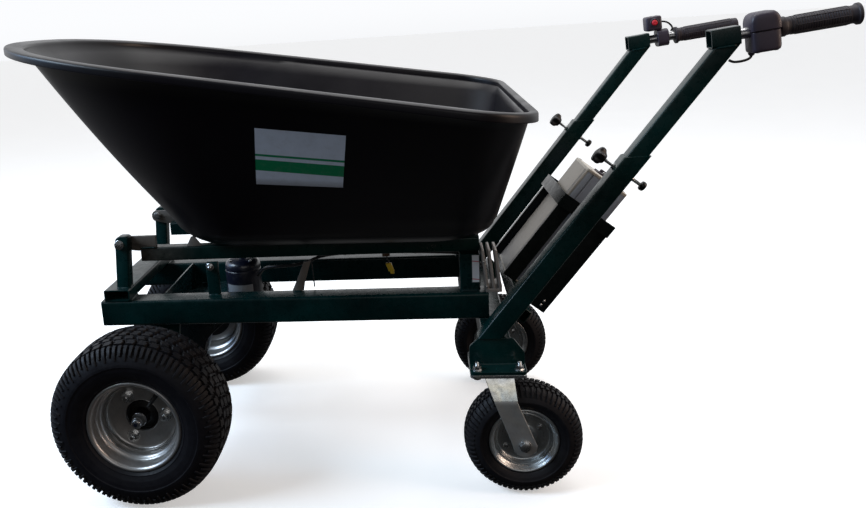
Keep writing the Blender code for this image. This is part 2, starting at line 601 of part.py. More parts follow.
# ---------------------------------------------------------------- battery and its cradle
add("battery_case", block(BAT_S0, BAT_S1, -BAT_Y, BAT_Y, BAT_M0, BAT_M1, 5.0, 0, lambda s, y, m: middle_point(s, m, y)),
    ALU, parent="battery_slide")


def extrude_along(outline, s0, s1):
    """A section in (m, y) drawn out along the handle direction."""
    return skin([[middle_point(s0, m, y) for m, y in outline], [middle_point(s1, m, y) for m, y in outline]])


# the cradle is open wide on its right side, where its strap and its side plate stand higher
t = 4.0
near, far, low = -88.8, 112.8, -130.0
add("cradle_tray", extrude_along([(-84, near + 4.3), (low, near + 4.3), (low, far - 4.3), (-84, far - 4.3), (-84, far - 4.3 - t), (low + t, far - 4.3 - t),
                                  (low + t, near + 4.3 + t), (-84, near + 4.3 + t)], 71.3, 321), BLACK)
frame = add("cradle_frame", extrude_along([(11, near), (low - 2, near), (low - 2, near + t), (11 - t, near + t), (24 - t, far - t), (low - 2, far - t),
                                           (low - 2, far), (24, far)], 304, 335), BLACK)
plates = (("near", [(8.5, near + 2.3), (-26, near + 2.3), (-26, near + 7.3), (8.5, near + 7.3)]),
          ("far", [(15, far + 5.7), (15, far - 7.3), (-26, far - 7.3), (-26, far - 2.3), (11, far - 2.3), (11, far + 5.7)]))
for word, section in plates:
    plate = add("plate_shape_" + word, extrude_along(section, 95.4, 326), None, cutter=True)
    boolean(frame, plate, 'UNION')
add("cradle_crossbar", box_tube(middle_point(80, -34, -267.7), middle_point(80, -34, 267.7), (HU.x, 0, HU.y), (HN.x, 0, HN.y),
                                30, 30, 2.5, 3.0), GREEN)
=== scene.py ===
import math
import bpy
import bmesh
from mathutils import Matrix, Vector, noise


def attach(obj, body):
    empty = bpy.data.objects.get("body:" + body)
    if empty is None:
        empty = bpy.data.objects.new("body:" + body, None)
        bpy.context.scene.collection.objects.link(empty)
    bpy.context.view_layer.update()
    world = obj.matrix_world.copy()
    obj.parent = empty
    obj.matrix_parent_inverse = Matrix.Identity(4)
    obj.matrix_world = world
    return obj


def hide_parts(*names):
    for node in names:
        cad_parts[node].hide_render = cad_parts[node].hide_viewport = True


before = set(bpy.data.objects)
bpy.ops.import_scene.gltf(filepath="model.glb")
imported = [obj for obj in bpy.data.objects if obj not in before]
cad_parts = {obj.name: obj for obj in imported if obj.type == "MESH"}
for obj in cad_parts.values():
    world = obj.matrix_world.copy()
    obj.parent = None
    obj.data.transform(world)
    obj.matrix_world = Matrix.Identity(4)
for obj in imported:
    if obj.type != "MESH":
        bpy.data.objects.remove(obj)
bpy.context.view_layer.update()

# Lengths below are millimetres in the chassis frame of the CAD: X towards the operator, Y across, Z up.
# The model's origin is the middle of its footprint, X_SHIFT behind the drive axle.
X_SHIFT = 604.744
cos, sin, pi, rad = math.cos, math.sin, math.pi, math.radians

# ------------------------------------------------------------------ places along the handles
H_X, H_Z, H_ANGLE, H_Y = 794.6, 365.0, rad(52.3), 289.0
BAR_X, BAR_Z, BAR_ANGLE, BAR_R = 1364.0, 992.0, math.atan(0.117), 11.0
DROP = 35.0
HU = Vector((cos(H_ANGLE), sin(H_ANGLE)))
HN = Vector((-HU.y, HU.x))
BU = Vector((cos(BAR_ANGLE), sin(BAR_ANGLE)))
BN = Vector((-BU.y, BU.x))


def hp(s, m, y, side=-1, drop=0.0):
    """s along the handle tube, m across it towards the tub, y beside its centre plane."""
    p = HU * (s - drop) + HN * m
    return Vector((H_X + p.x, side * H_Y + y, H_Z + p.y))


def mp(s, m, y):
    p = HU * s + HN * m
    return Vector((H_X + p.x, y, H_Z + p.y))


def bp(t, m, y, side=-1, drop=0.0):
    """t along the hand grip rearwards, m above it, y beside it."""
    p = BU * t + BN * m - HU * drop
    return Vector((BAR_X + p.x, side * H_Y + y, BAR_Z + p.y))


def flat(x, y, z):
    return Vector((x, y, z))


# ------------------------------------------------------------------ mesh tools
def rounded(points, radius, n=4, closed=True):
    """Rounds the corners of an outline."""
    out = []
    count = len(points)
    for i, p in enumerate(points):
        p = Vector(p)
        r = radius[i] if isinstance(radius, (list, tuple)) else radius
        if (not closed and i in (0, count - 1)) or r <= 0:
            out.append(p)
            continue
        a, b = Vector(points[i - 1]), Vector(points[(i + 1) % count])
        d = min(r, (a - p).length * 0.49, (b - p).length * 0.49)
        pa, pb = p + (a - p).normalized() * d, p + (b - p).normalized() * d
        for k in range(n + 1):
            t = k / n
            out.append(pa * (1 - t) ** 2 + p * 2 * t * (1 - t) + pb * t * t)
    return out


def skin(rings, closed=False, caps=True):
    bm = bmesh.new()
    loops = [[bm.verts.new(Vector(p)) for p in ring] for ring in rings]
    count = len(loops[0])
    runs = len(loops) if closed else len(loops) - 1
    for i in range(runs):
        a, b = loops[i], loops[(i + 1) % len(loops)]
        for k in range(count):
            j = (k + 1) % count
            bm.faces.new((a[k], a[j], b[j], b[k]))
    if not closed and caps:
        bm.faces.new(loops[0])
        bm.faces.new(list(reversed(loops[-1])))
    return bm


def turned(profile, steps, place, closed=False):
    """A profile of (along, radius) turned about an axis."""
    return skin([[place(t, r * cos(2 * pi * k / steps), r * sin(2 * pi * k / steps)) for k in range(steps)]
                 for t, r in profile], closed=closed)


def about_y(x, y, z, out=1):
    return lambda t, a, b: Vector((x + a, y + t * out, z + b))


def about_z(x, y, z=0.0):
    return lambda t, a, b: Vector((x + a, y + b, z + t))


def basis(axis):
    w = Vector(axis).normalized()
    u = w.orthogonal().normalized()
    return u, w.cross(u), w


def about(origin, axis, spin=0.0):
    """A place function round any axis: t along it, a and b across it."""
    u, v, w = basis(axis)
    u, v = u * cos(spin) + v * sin(spin), v * cos(spin) - u * sin(spin)
    o = Vector(origin)
    return lambda t, a, b: o + w * t + u * a + v * b


def slab(x0, x1, y0, y1, z0, z1, bevel=0.0, axis=None, place=flat, seg=3):
    """A box with rounded edges, on all edges or only those along one axis."""
    bm = bmesh.new()
    bmesh.ops.create_cube(bm, size=1.0)
    for v in bm.verts:
        v.co = Vector((x0 + (v.co.x + 0.5) * (x1 - x0), y0 + (v.co.y + 0.5) * (y1 - y0),
                       z0 + (v.co.z + 0.5) * (z1 - z0)))
    if bevel:
        edges = [e for e in bm.edges if axis is None
                 or abs((e.verts[1].co - e.verts[0].co).normalized()[axis]) > 0.9]
        bmesh.ops.bevel(bm, geom=edges, offset=bevel, segments=seg, profile=0.5, affect='EDGES')
    for v in bm.verts:
        v.co = place(*v.co)
    return bm


def prism(outline, y0, y1, place=flat, edge=0.0):
    """An outline in X-Z drawn across from y0 to y1, with softened rims."""
    pts = [Vector(p) for p in outline]
    area = sum(pts[i - 1].x * pts[i].y - pts[i].x * pts[i - 1].y for i in range(len(pts)))
    if area < 0:
        pts.reverse()
    y0, y1 = min(y0, y1), max(y0, y1)

    def inset(d):
        res = []
        for i, p in enumerate(pts):
            a, b = pts[i - 1], pts[(i + 1) % len(pts)]
            e1, e2 = (p - a), (b - p)
            e1 = e1.normalized() if e1.length > 1e-6 else Vector((1, 0))
            e2 = e2.normalized() if e2.length > 1e-6 else e1
            n1, n2 = Vector((-e1.y, e1.x)), Vector((-e2.y, e2.x))
            n = n1 + n2
            k = 1.0 / max(0.5, 1.0 + n1.dot(n2))
            res.append(p + n * (d * k))
        return res
    rings = []
    if edge:
        for k in range(4):
            a = pi / 2 * k / 3
            rings.append((y0 + edge * (1 - cos(a)), inset(edge * (1 - sin(a)))))
        back = [(y1 - (y - y0), ring) for y, ring in reversed(rings)]
        rings = rings + back
    else:
        rings = [(y0, pts), (y1, pts)]
    return skin([[place(p.x, y, p.y) for p in ring] for y, ring in rings])


def join(*parts):
    """Puts several shapes in one mesh; a pair (shape, n) takes material n."""
    out = bmesh.new()
    for part in parts:
        bm, index = part if isinstance(part, tuple) else (part, 0)
        for f in bm.faces:
            if index:
                f.material_index = index
        bmesh.ops.recalc_face_normals(bm, faces=bm.faces)
        tmp = bpy.data.meshes.new("tmp")
        bm.to_mesh(tmp)
        out.from_mesh(tmp)
        bpy.data.meshes.remove(tmp)
        bm.free()
    return out


def section(wa, wb, r, n=4):
    return rounded([(wa / 2, -wb / 2), (wa / 2, wb / 2), (-wa / 2, wb / 2), (-wa / 2, -wb / 2)], r, n)


def box_tube(p0, p1, a_dir, b_dir, wa, wb, wall, r=6.0, n=4, steps=1, wave=0.0):
    """An open box tube with rounded corners, its ends softly broken."""
    p0, p1, a_dir, b_dir = Vector(p0), Vector(p1), Vector(a_dir), Vector(b_dir)
    axis = (p1 - p0).normalized()
    outer, mid = section(wa, wb, r, n), section(wa - 0.8, wb - 0.8, r, n)
    inner = section(wa - 2 * wall, wb - 2 * wall, max(r - wall, 1.2), n)

    def ring(c, sec):
        return [c + a_dir * p[0] + b_dir * p[1] for p in sec]
    run = [ring(p0, mid)] + [ring(p0.lerp(p1, k / steps) + axis * (0.4 if k == 0 else -0.4 if k == steps else 0), outer)
                             for k in range(steps + 1)] + [ring(p1, mid)]
    return skin(run + [ring(p1, inner), ring(p0, inner)], closed=True)


def catmull(points, n=6):
    pts = [Vector(p) for p in points]
    out = []
    for i in range(len(pts) - 1):
        p0 = pts[i - 1] if i else pts[i] * 2 - pts[i + 1]
        p1, p2 = pts[i], pts[i + 1]
        p3 = pts[i + 2] if i + 2 < len(pts) else pts[i + 1] * 2 - pts[i]
        for k in range(n):
            t = k / n
            out.append(0.5 * ((2 * p1) + (p2 - p0) * t + (2 * p0 - 5 * p1 + 4 * p2 - p3) * t * t
                              + (3 * p1 - p0 - 3 * p2 + p3) * t ** 3))
    out.append(pts[-1])
    return out


def sweep(path, radius, steps=10):
    """A round bar along a path; the radius is a number or a function of the share of the way."""
    pts = [Vector(p) for p in path]
    rings = []
    t0 = (pts[1] - pts[0]).normalized()
    u = t0.orthogonal().normalized()
    for i, p in enumerate(pts):
        a, b = pts[max(i - 1, 0)], pts[min(i + 1, len(pts) - 1)]
        t = (b - a).normalized()
        u = (u - t * u.dot(t)).normalized()
        v = t.cross(u)
        r = radius(i / (len(pts) - 1)) if callable(radius) else radius
        rings.append([p + u * (r * cos(2 * pi * k / steps)) + v * (r * sin(2 * pi * k / steps)) for k in range(steps)])
    return skin(rings)


def bead(p0, p1, r=3.2, seed=0.0):
    """A rippled weld bead between two points."""
    a, b = Vector(p0), Vector(p1)
    length = (b - a).length
    n = max(8, int(length / 1.1))
    path = []
    for i in range(n + 1):
        q = a.lerp(b, i / n)
        path.append(q + Vector((noise.noise(q * 0.11 + Vector((seed, 0, 0))), noise.noise(q * 0.13 + Vector((0, seed, 7))),
                                noise.noise(q * 0.12 + Vector((3, 0, seed))))) * 0.5)

    def rr(f):
        end = min(1.0, 0.25 + 6 * min(f, 1 - f))
        return r * end * (0.86 + 0.14 * abs(sin(f * length / 3.4 * pi)) + 0.12 * noise.noise(Vector((f * length * 0.12, seed, 0))))
    return sweep(path, rr, 8)


def hexagon(flats, t, place, turn=0.0, grow=1.0):
    r = flats / math.sqrt(3) * grow
    return [place(t, r * cos(turn + pi / 3 * k), r * sin(turn + pi / 3 * k)) for k in range(6)]


def hex_head(place, t0, t1, flats, turn=0.0, inner=0.0):
    """A chamfered hex head or nut from t0 to t1."""
    n = 24
    d = 1 if t1 > t0 else -1
    apothem = flats / 2

    def ring(t, limit):
        pts = []
        for k in range(n):
            a = turn + 2 * pi * k / n
            off = (a - turn) % (pi / 3) - pi / 6
            r = min(apothem / cos(off), limit)
            pts.append(place(t, r * cos(a + pi / 6), r * sin(a + pi / 6)))
        return pts
    big, mid, small = flats * 0.62, flats * 0.545, flats * 0.475
    h = flats * 0.045
    return skin([ring(t0, mid), ring(t0 + d * h, big), ring(t1 - d * h * 1.3, big), ring(t1 - d * h * 0.4, mid), ring(t1, small)])


def washer(place, t0, t1, r, ri=0.0):
    d = 1 if t1 > t0 else -1
    return turned([(t0, r), (t1 - d * 0.4, r), (t1, r - 0.5), (t1, max(ri, r * 0.3))], 28, place)


def threads(place, t0, t1, r, pitch=1.6):
    """The end of a threaded bolt."""
    d = 1 if t1 > t0 else -1
    prof = []
    n = max(2, int(abs(t1 - t0) / pitch))
    for k in range(n):
        a = t0 + d * k * pitch
        prof += [(a, r - 0.7), (a + d * pitch * 0.5, r)]
    prof += [(t1 - d * 0.6, r - 0.5), (t1, r - 1.4)]
    return turned(prof, 16, place)


def bolt(origin, axis, flats=13.0, high=6.0, wash=0.0, spin=0.2, stud=0.0):
    """A bolt head or nut on a washer; stud adds a threaded end."""
    pl = about(origin, axis, spin)
    parts = []
    t = 0.0
    if wash:
        parts.append(washer(pl, 0.0, 1.6, wash))
        t = 1.5
    parts.append(hex_head(pl, t, t + high, flats))
    if stud:
        parts.append(threads(pl, t + high - 0.5, t + high + stud, flats * 0.29))
    return join(*parts)


def rivet(origin, axis, r=3.4, h=1.8):
    return turned([(-0.4, r), (0.2, r), (h * 0.6, r * 0.8), (h * 0.92, r * 0.45), (h, 0.15)], 14, about(origin, axis))


def make(name, bm, mats, body, cad=(), smooth=38.0, bevel=0.0, seg=2, sub=0):
    """Turns a shape in millimetres into a piece in metres that rides on a body."""
    bmesh.ops.recalc_face_normals(bm, faces=bm.faces)
    for v in bm.verts:
        v.co = Vector(((v.co.x - X_SHIFT) / 1000, v.co.y / 1000, v.co.z / 1000))
    mesh = bpy.data.meshes.new(name)
    bm.to_mesh(mesh)
    bm.free()
    mesh.shade_smooth()
    mesh.set_sharp_from_angle(angle=rad(smooth))
    obj = bpy.data.objects.new(name, mesh)
    bpy.context.scene.collection.objects.link(obj)
    for m in (mats if isinstance(mats, (list, tuple)) else [mats]):
        mesh.materials.append(m)
    if bevel:
        mod = obj.modifiers.new("soft edges", 'BEVEL')
        mod.width = bevel / 1000
        mod.segments = seg
        mod.limit_method = 'ANGLE'
        mod.angle_limit = rad(40)
    if sub:
        mod = obj.modifiers.new("subdivision", 'SUBSURF')
        mod.levels = mod.render_levels = sub
    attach(obj, body)
    if cad:
        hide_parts(*([cad] if isinstance(cad, str) else cad))
    return obj


# ------------------------------------------------------------------ materials
class Paint:
    """A small helper for node-based materials. Coordinates are the object's own, in metres, so grain moves with a piece."""

    def __init__(self, name):
        self.mat = bpy.data.materials.new(name)
        self.mat.use_nodes = True
        self.tree = self.mat.node_tree
        self.shader = self.tree.nodes["Principled BSDF"]
        self.co = self.tree.nodes.new("ShaderNodeTexCoord").outputs["Object"]

    def link(self, a, b):
        self.tree.links.new(a, b)

    def stretch(self, x, y, z, turn=(0, 0, 0)):
        n = self.tree.nodes.new("ShaderNodeMapping")
        n.inputs["Scale"].default_value = (x, y, z)
        n.inputs["Rotation"].default_value = turn
        self.link(self.co, n.inputs["Vector"])
        return n.outputs["Vector"]

    def noise(self, scale, detail=3.0, rough=0.55, at=None, distortion=0.0):
        n = self.tree.nodes.new("ShaderNodeTexNoise")
        n.inputs["Scale"].default_value = scale
        n.inputs["Detail"].default_value = detail
        n.inputs["Roughness"].default_value = rough
        n.inputs["Distortion"].default_value = distortion
        self.link(at or self.co, n.inputs["Vector"])
        return n.outputs["Fac"]

    def voronoi(self, scale, at=None, feature='F1'):
        n = self.tree.nodes.new("ShaderNodeTexVoronoi")
        n.feature = feature
        n.inputs["Scale"].default_value = scale
        self.link(at or self.co, n.inputs["Vector"])
        return n.outputs["Distance"]

    def ramp(self, fac, stops):
        n = self.tree.nodes.new("ShaderNodeValToRGB")
        el = n.color_ramp.elements
        while len(el) < len(stops):
            el.new(0.5)
        for e, (pos, col) in zip(el, stops):
            e.position = pos
            e.color = (*col, 1.0) if isinstance(col, tuple) else (col, col, col, 1.0)
        self.link(fac, n.inputs["Fac"])
        return n.outputs["Color"]

    def span(self, fac, low, high, a=0.0, b=1.0):
        n = self.tree.nodes.new("ShaderNodeMapRange")
        n.inputs["From Min"].default_value = low
        n.inputs["From Max"].default_value = high
        n.inputs["To Min"].default_value = a
        n.inputs["To Max"].default_value = b
        self.link(fac, n.inputs["Value"])
        return n.outputs["Result"]

    def math(self, op, a, b):
        n = self.tree.nodes.new("ShaderNodeMath")
        n.operation = op
        for i, v in enumerate((a, b)):
            if isinstance(v, (int, float)):
                n.inputs[i].default_value = v
            else:
                self.link(v, n.inputs[i])
        return n.outputs["Value"]

    def mix(self, fac, a, b):
        n = self.tree.nodes.new("ShaderNodeMix")
        n.data_type = 'RGBA'
        for sock, v in (("Factor", fac),):
            if isinstance(v, (int, float)):
                n.inputs[0].default_value = v
            else:
                self.link(v, n.inputs[0])
        for i, v in ((6, a), (7, b)):
            if isinstance(v, tuple):
                n.inputs[i].default_value = (*v, 1.0)
            else:
                self.link(v, n.inputs[i])
        return n.outputs[2]

    def upward(self, low=0.55, high=0.98):
        """1 on faces that look up in the piece's own frame: where dust settles, and where the battery's painted top
        reflection goes.
        """
        g = self.tree.nodes.new("ShaderNodeNewGeometry")
        s = self.tree.nodes.new("ShaderNodeSeparateXYZ")
        self.link(g.outputs["Normal"], s.inputs["Vector"])
        return self.span(s.outputs["Z"], low, high)

    def edges(self, radius=0.0016, low=0.02, high=0.25):
        """1 along sharp outer edges, for wear."""
        bv = self.tree.nodes.new("ShaderNodeBevel")
        bv.samples = 4
        bv.inputs["Radius"].default_value = radius
        g = self.tree.nodes.new("ShaderNodeNewGeometry")
        d = self.tree.nodes.new("ShaderNodeVectorMath")
        d.operation = 'DOT_PRODUCT'
        self.link(bv.outputs["Normal"], d.inputs[0])
        self.link(g.outputs["Normal"], d.inputs[1])
        return self.span(self.math('SUBTRACT', 1.0, d.outputs["Value"]), low, high)

    def bump(self, height, strength=0.3, distance=0.0005, over=None):
        n = self.tree.nodes.new("ShaderNodeBump")
        n.inputs["Strength"].default_value = strength
        n.inputs["Distance"].default_value = distance
        self.link(height, n.inputs["Height"])
        if over is not None:
            self.link(over, n.inputs["Normal"])
        return n.outputs["Normal"]

    def set(self, **values):
        names = {"colour": "Base Color", "rough": "Roughness", "metal": "Metallic", "normal": "Normal", "ior": "IOR",
                 "spec": "Specular IOR Level", "coat": "Coat Weight", "coat_rough": "Coat Roughness", "sheen": "Sheen Weight",
                 "aniso": "Anisotropic"}
        for key, v in values.items():
            sock = self.shader.inputs[names[key]]
            if isinstance(v, tuple):
                sock.default_value = (*v, 1.0)
            elif isinstance(v, (int, float)):
                sock.default_value = v
            else:
                self.link(v, sock)
        return self.mat


def powder(name, dark, light, rough=0.3, chips=0.60, bare=(0.10, 0.095, 0.085), dust=0.35, rubbed=None):
    p = Paint(name)
    base = p.mix(p.span(p.noise(7, 4), 0.35, 0.68), dark, light)
    base = p.mix(p.math('MULTIPLY', p.span(p.noise(38, 5, 0.7), 0.5, 0.75), 0.35), base, tuple(c * 0.45 for c in dark))
    grime = p.math('MULTIPLY', p.upward(), p.math('MULTIPLY', p.span(p.noise(22, 6, 0.65), 0.45, 0.72), dust))
    base = p.mix(grime, base, (0.050, 0.048, 0.045))
    chip = p.math('MULTIPLY', p.span(p.noise(260, 4, 0.75), chips, chips + 0.05), p.span(p.noise(17, 3), 0.50, 0.66))
    if rubbed:
        sep = p.tree.nodes.new("ShaderNodeSeparateXYZ")
        p.link(p.co, sep.inputs["Vector"])
        reach = p.math('ADD', sep.outputs["X"], p.math('MULTIPLY', p.noise(24, 5, 0.6), 0.05))
        base = p.mix(p.math('MULTIPLY', p.span(reach, rubbed[1], rubbed[0]), 0.85), base, p.mix(p.span(p.noise(90, 5), 0.35, 0.7), (0.036, 0.028, 0.024), (0.075, 0.062, 0.054)))
    colour = p.mix(chip, base, bare)
    r = p.math('ADD', p.span(p.noise(60, 5, 0.6), 0.3, 0.75, rough - 0.08, rough + 0.12), p.math('MULTIPLY', grime, 0.5))
    r = p.math('ADD', r, p.math('MULTIPLY', chip, 0.3))
    n = p.bump(p.noise(1500, 2), 0.14, 0.00025)
    n = p.bump(p.noise(240, 3), 0.10, 0.0004, n)
    n = p.bump(p.math('SUBTRACT', 1.0, chip), 0.5, 0.0002, n)
    return p.set(colour=colour, rough=r, metal=0.0, spec=0.26, normal=n, coat=0.05, coat_rough=0.12)


def metal(name, a, b, rough=0.3, grain=(900, 60, 60), dirt=0.25, soot=(0.05, 0.045, 0.04), spread=0.10, metallic=1.0, big=9.0):
    p = Paint(name)
    base = p.mix(p.span(p.noise(big, 4, 0.6), 0.3, 0.7), a, b)
    fine = p.noise(1.0, 3, 0.6, at=p.stretch(*grain))
    base = p.mix(p.span(fine, 0.3, 0.7, 0.0, 0.25), base, tuple(c * 0.72 for c in a))
    mask = p.math('MULTIPLY', p.span(p.noise(34, 6, 0.7), 0.52, 0.72), dirt)
    colour = p.mix(mask, base, soot)
    r = p.math('ADD', p.span(fine, 0.3, 0.7, rough - spread * 0.4, rough + spread), p.math('MULTIPLY', mask, 0.45))
    n = p.bump(fine, 0.10, 0.0002)
    n = p.bump(p.noise(420, 3), 0.07, 0.0002, n)
    return p.set(colour=colour, rough=r, metal=metallic, normal=n)


def plastic(name, a, b, rough=0.45, grain=1600, grain_strength=0.22, dust=0.25, spec=0.45):
    p = Paint(name)
    base = p.mix(p.span(p.noise(16, 4), 0.35, 0.7), a, b)
    mask = p.math('MULTIPLY', p.upward(0.3, 1.0), p.math('MULTIPLY', p.span(p.noise(70, 6, 0.7), 0.45, 0.75), dust))
    colour = p.mix(mask, base, (0.11, 0.10, 0.095))
    r = p.math('ADD', p.span(p.noise(90, 4), 0.3, 0.7, rough - 0.06, rough + 0.1), p.math('MULTIPLY', mask, 0.4))
    n = p.bump(p.voronoi(grain), grain_strength, 0.00012)
    n = p.bump(p.noise(120, 2), 0.06, 0.0006, n)
    return p.set(colour=colour, rough=r, spec=spec, normal=n)


def rubber(name, a, b, mud=(0.045, 0.034, 0.026), mud_amount=0.5, rough=0.62, spec=0.24):
    p = Paint(name)
    base = p.mix(p.span(p.noise(12, 5, 0.6), 0.3, 0.7), a, b)
    spots = p.span(p.noise(30, 7, 0.72), 0.44, 0.70)
    mask = p.math('MULTIPLY', spots, mud_amount)
    colour = p.mix(mask, base, mud)
    r = p.math('ADD', p.span(p.noise(140, 4), 0.3, 0.7, rough - 0.10, rough + 0.10), p.math('MULTIPLY', mask, 0.25))
    n = p.bump(p.noise(900, 4, 0.7), 0.25, 0.00035)
    n = p.bump(p.noise(85, 3), 0.12, 0.0008, n)
    return p.set(colour=colour, rough=r, spec=spec, normal=n)


GREEN = powder("green_powder_coat", (0.0004, 0.0085, 0.0085), (0.0010, 0.0215, 0.0210), rough=0.28, chips=0.68, dust=0.06)
GREEN_WORN = powder("green_powder_coat_worn", (0.0004, 0.0080, 0.0080), (0.0014, 0.0215, 0.0210), rough=0.31, chips=0.60,
                    bare=(0.10, 0.085, 0.075), dust=0.18)
# painted light: a lighter, bluer copy of the green paint for the motor shelf, standing in for its lit top flange
GREEN_PAINTED_LIGHT = powder("green_powder_coat_shelf_painted_light", (0.0020, 0.0150, 0.0170), (0.0060, 0.0300, 0.0340), rough=0.22, chips=0.66, dust=0.25)
GREEN_RAIL = powder("green_powder_coat_rubbed", (0.0004, 0.0095, 0.0085), (0.0012, 0.0240, 0.0205), rough=0.32, chips=0.60,
                    bare=(0.10, 0.085, 0.075), dust=0.20, rubbed=((0 - X_SHIFT) / 1000, (150 - X_SHIFT) / 1000))
WORN = metal("worn_steel_plate", (0.17, 0.145, 0.125), (0.28, 0.25, 0.225), rough=0.42, grain=(200, 200, 1200), dirt=0.5, metallic=0.75)
BEAD = powder("weld_bead_paint", (0.0012, 0.0120, 0.0125), (0.004, 0.030, 0.031), rough=0.30, chips=0.62, dust=0.15)
STEEL = metal("machined_steel", (0.42, 0.42, 0.43), (0.55, 0.55, 0.56), rough=0.28, grain=(120, 1500, 120), dirt=0.35)
BRIGHT = metal("plated_fastener", (0.60, 0.61, 0.62), (0.74, 0.74, 0.73), rough=0.24, grain=(500, 500, 500), dirt=0.35)
BLACK = powder("satin_black_steel", (0.0022, 0.0042, 0.0046), (0.0050, 0.0085, 0.0090), rough=0.30, chips=0.66, bare=(0.10, 0.095, 0.09), dust=0.2)
HUB = powder("wheel_hub_black", (0.0016, 0.0016, 0.0020), (0.0034, 0.0034, 0.0040), rough=0.5, chips=0.68, dust=0.1)
PLASTIC = plastic("moulded_black_plastic", (0.0240, 0.0180, 0.0300), (0.0400, 0.0310, 0.0490), rough=0.44, dust=0.10)
KNOB = plastic("knob_plastic", (0.0055, 0.0048, 0.0062), (0.0100, 0.0088, 0.0112), rough=0.40, dust=0.08)
CABLE = plastic("cable_jacket", (0.008, 0.008, 0.009), (0.014, 0.014, 0.015), rough=0.40, grain=900, grain_strength=0.1)
GRIP = rubber("grip_rubber", (0.0155, 0.0125, 0.0175), (0.026, 0.021, 0.029), mud=(0.06, 0.055, 0.05), mud_amount=0.25, rough=0.52, spec=0.38)
SIDEWALL = rubber("tyre_sidewall", (0.0028, 0.0026, 0.0044), (0.0056, 0.0052, 0.0080), mud=(0.013, 0.012, 0.015), mud_amount=0.30, rough=0.52)
TREAD = rubber("tyre_tread", (0.0040, 0.0040, 0.0062), (0.0075, 0.0076, 0.0105), mud=(0.021, 0.016, 0.013), mud_amount=0.55, rough=0.60)
CASTER_RUBBER = rubber("caster_tyre_rubber", (0.0032, 0.0032, 0.0050), (0.0062, 0.0060, 0.0086), mud=(0.017, 0.014, 0.014), mud_amount=0.42, rough=0.56)
YELLOW = plastic("yellow_connector_plastic", (0.62, 0.40, 0.02), (0.72, 0.50, 0.04), rough=0.35, grain=900, grain_strength=0.08, dust=0.3)
BROWN = plastic("brown_tape", (0.11, 0.055, 0.025), (0.17, 0.09, 0.045), rough=0.55, grain=700, grain_strength=0.1, dust=0.3)


def poly():
    """Moulded tub: deep aubergine black with a soft sheen, fine moulding texture, scuffs and dust."""
    p = Paint("tub_moulded_poly")
    base = p.mix(p.span(p.noise(3.2, 4), 0.35, 0.68), (0.0022, 0.0015, 0.0029), (0.0040, 0.0027, 0.0050))
    scuff_a = p.noise(1.0, 4, 0.75, at=p.stretch(26, 320, 700, (0.2, 0.5, 0.1)))
    scuff_b = p.noise(1.0, 4, 0.75, at=p.stretch(520, 300, 22, (0.1, -0.35, 0.3)))
    scratch = p.math('MULTIPLY', p.math('MAXIMUM', p.span(scuff_a, 0.655, 0.70), p.span(scuff_b, 0.665, 0.71)), p.span(p.noise(6, 3), 0.45, 0.62))
    dust = p.math('MULTIPLY', p.span(p.noise(9, 7, 0.7), 0.45, 0.75), p.upward(0.15, 1.0))
    colour = p.mix(p.math('MULTIPLY', scratch, 0.35), base, (0.060, 0.050, 0.060))
    colour = p.mix(p.math('MULTIPLY', dust, 0.05), colour, (0.10, 0.085, 0.10))
    r = p.math('ADD', p.span(p.noise(5, 5, 0.6), 0.3, 0.72, 0.30, 0.42), p.math('MULTIPLY', dust, 0.12))
    r = p.math('ADD', r, p.math('MULTIPLY', scratch, 0.2))
    n = p.bump(p.noise(1300, 2), 0.10, 0.0002)
    n = p.bump(p.noise(14, 2, 0.4), 0.05, 0.004, n)
    n = p.bump(p.math('SUBTRACT', 1.0, scratch), 0.25, 0.0001, n)
    return p.set(colour=colour, rough=r, spec=0.27, normal=n)


POLY = poly()


def rim_paint(name, hub=(0.0, 0.0), a=(0.42, 0.42, 0.43), b=(0.58, 0.58, 0.585), rough=0.33, metallic=0.85):
    """Silver painted wheel: spun grain round the axle, faint steps of dirt."""
    p = Paint(name)
    sep = p.tree.nodes.new("ShaderNodeSeparateXYZ")
    p.link(p.co, sep.inputs["Vector"])
    dx = p.math('SUBTRACT', sep.outputs["X"], hub[0])
    dz = p.math('SUBTRACT', sep.outputs["Z"], hub[1])
    radius = p.math('SQRT', p.math('ADD', p.math('MULTIPLY', dx, dx), p.math('MULTIPLY', dz, dz)), 0.0)
    com = p.tree.nodes.new("ShaderNodeCombineXYZ")
    p.link(p.math('MULTIPLY', radius, 900.0), com.inputs["X"])
    p.link(p.math('MULTIPLY', sep.outputs["Y"], 400.0), com.inputs["Y"])
    spun = p.noise(1.0, 3, 0.6, at=com.outputs["Vector"])
    base = p.mix(p.span(p.noise(14, 5, 0.6), 0.3, 0.7), a, b)
    base = p.mix(p.span(spun, 0.35, 0.75, 0.0, 0.22), base, tuple(c * 0.7 for c in a))
    dirt = p.math('MULTIPLY', p.span(p.noise(46, 6, 0.7), 0.50, 0.74), 0.38)
    colour = p.mix(dirt, base, (0.16, 0.145, 0.135))
    r = p.math('ADD', p.span(spun, 0.3, 0.7, rough - 0.05, rough + 0.09), p.math('MULTIPLY', dirt, 0.4))
    n = p.bump(spun, 0.06, 0.0002)
    n = p.bump(p.noise(700, 3), 0.07, 0.0002, n)
    return p.set(colour=colour, rough=r, metal=metallic, normal=n)


RIM = rim_paint("silver_rim_paint", ((0 - X_SHIFT) / 1000, 0.203), (0.40, 0.39, 0.385), (0.55, 0.54, 0.53))
CASTER_RIM = rim_paint("caster_rim_plate", ((867 - X_SHIFT) / 1000, 0.130), (0.44, 0.46, 0.47), (0.60, 0.63, 0.64), rough=0.28, metallic=0.92)


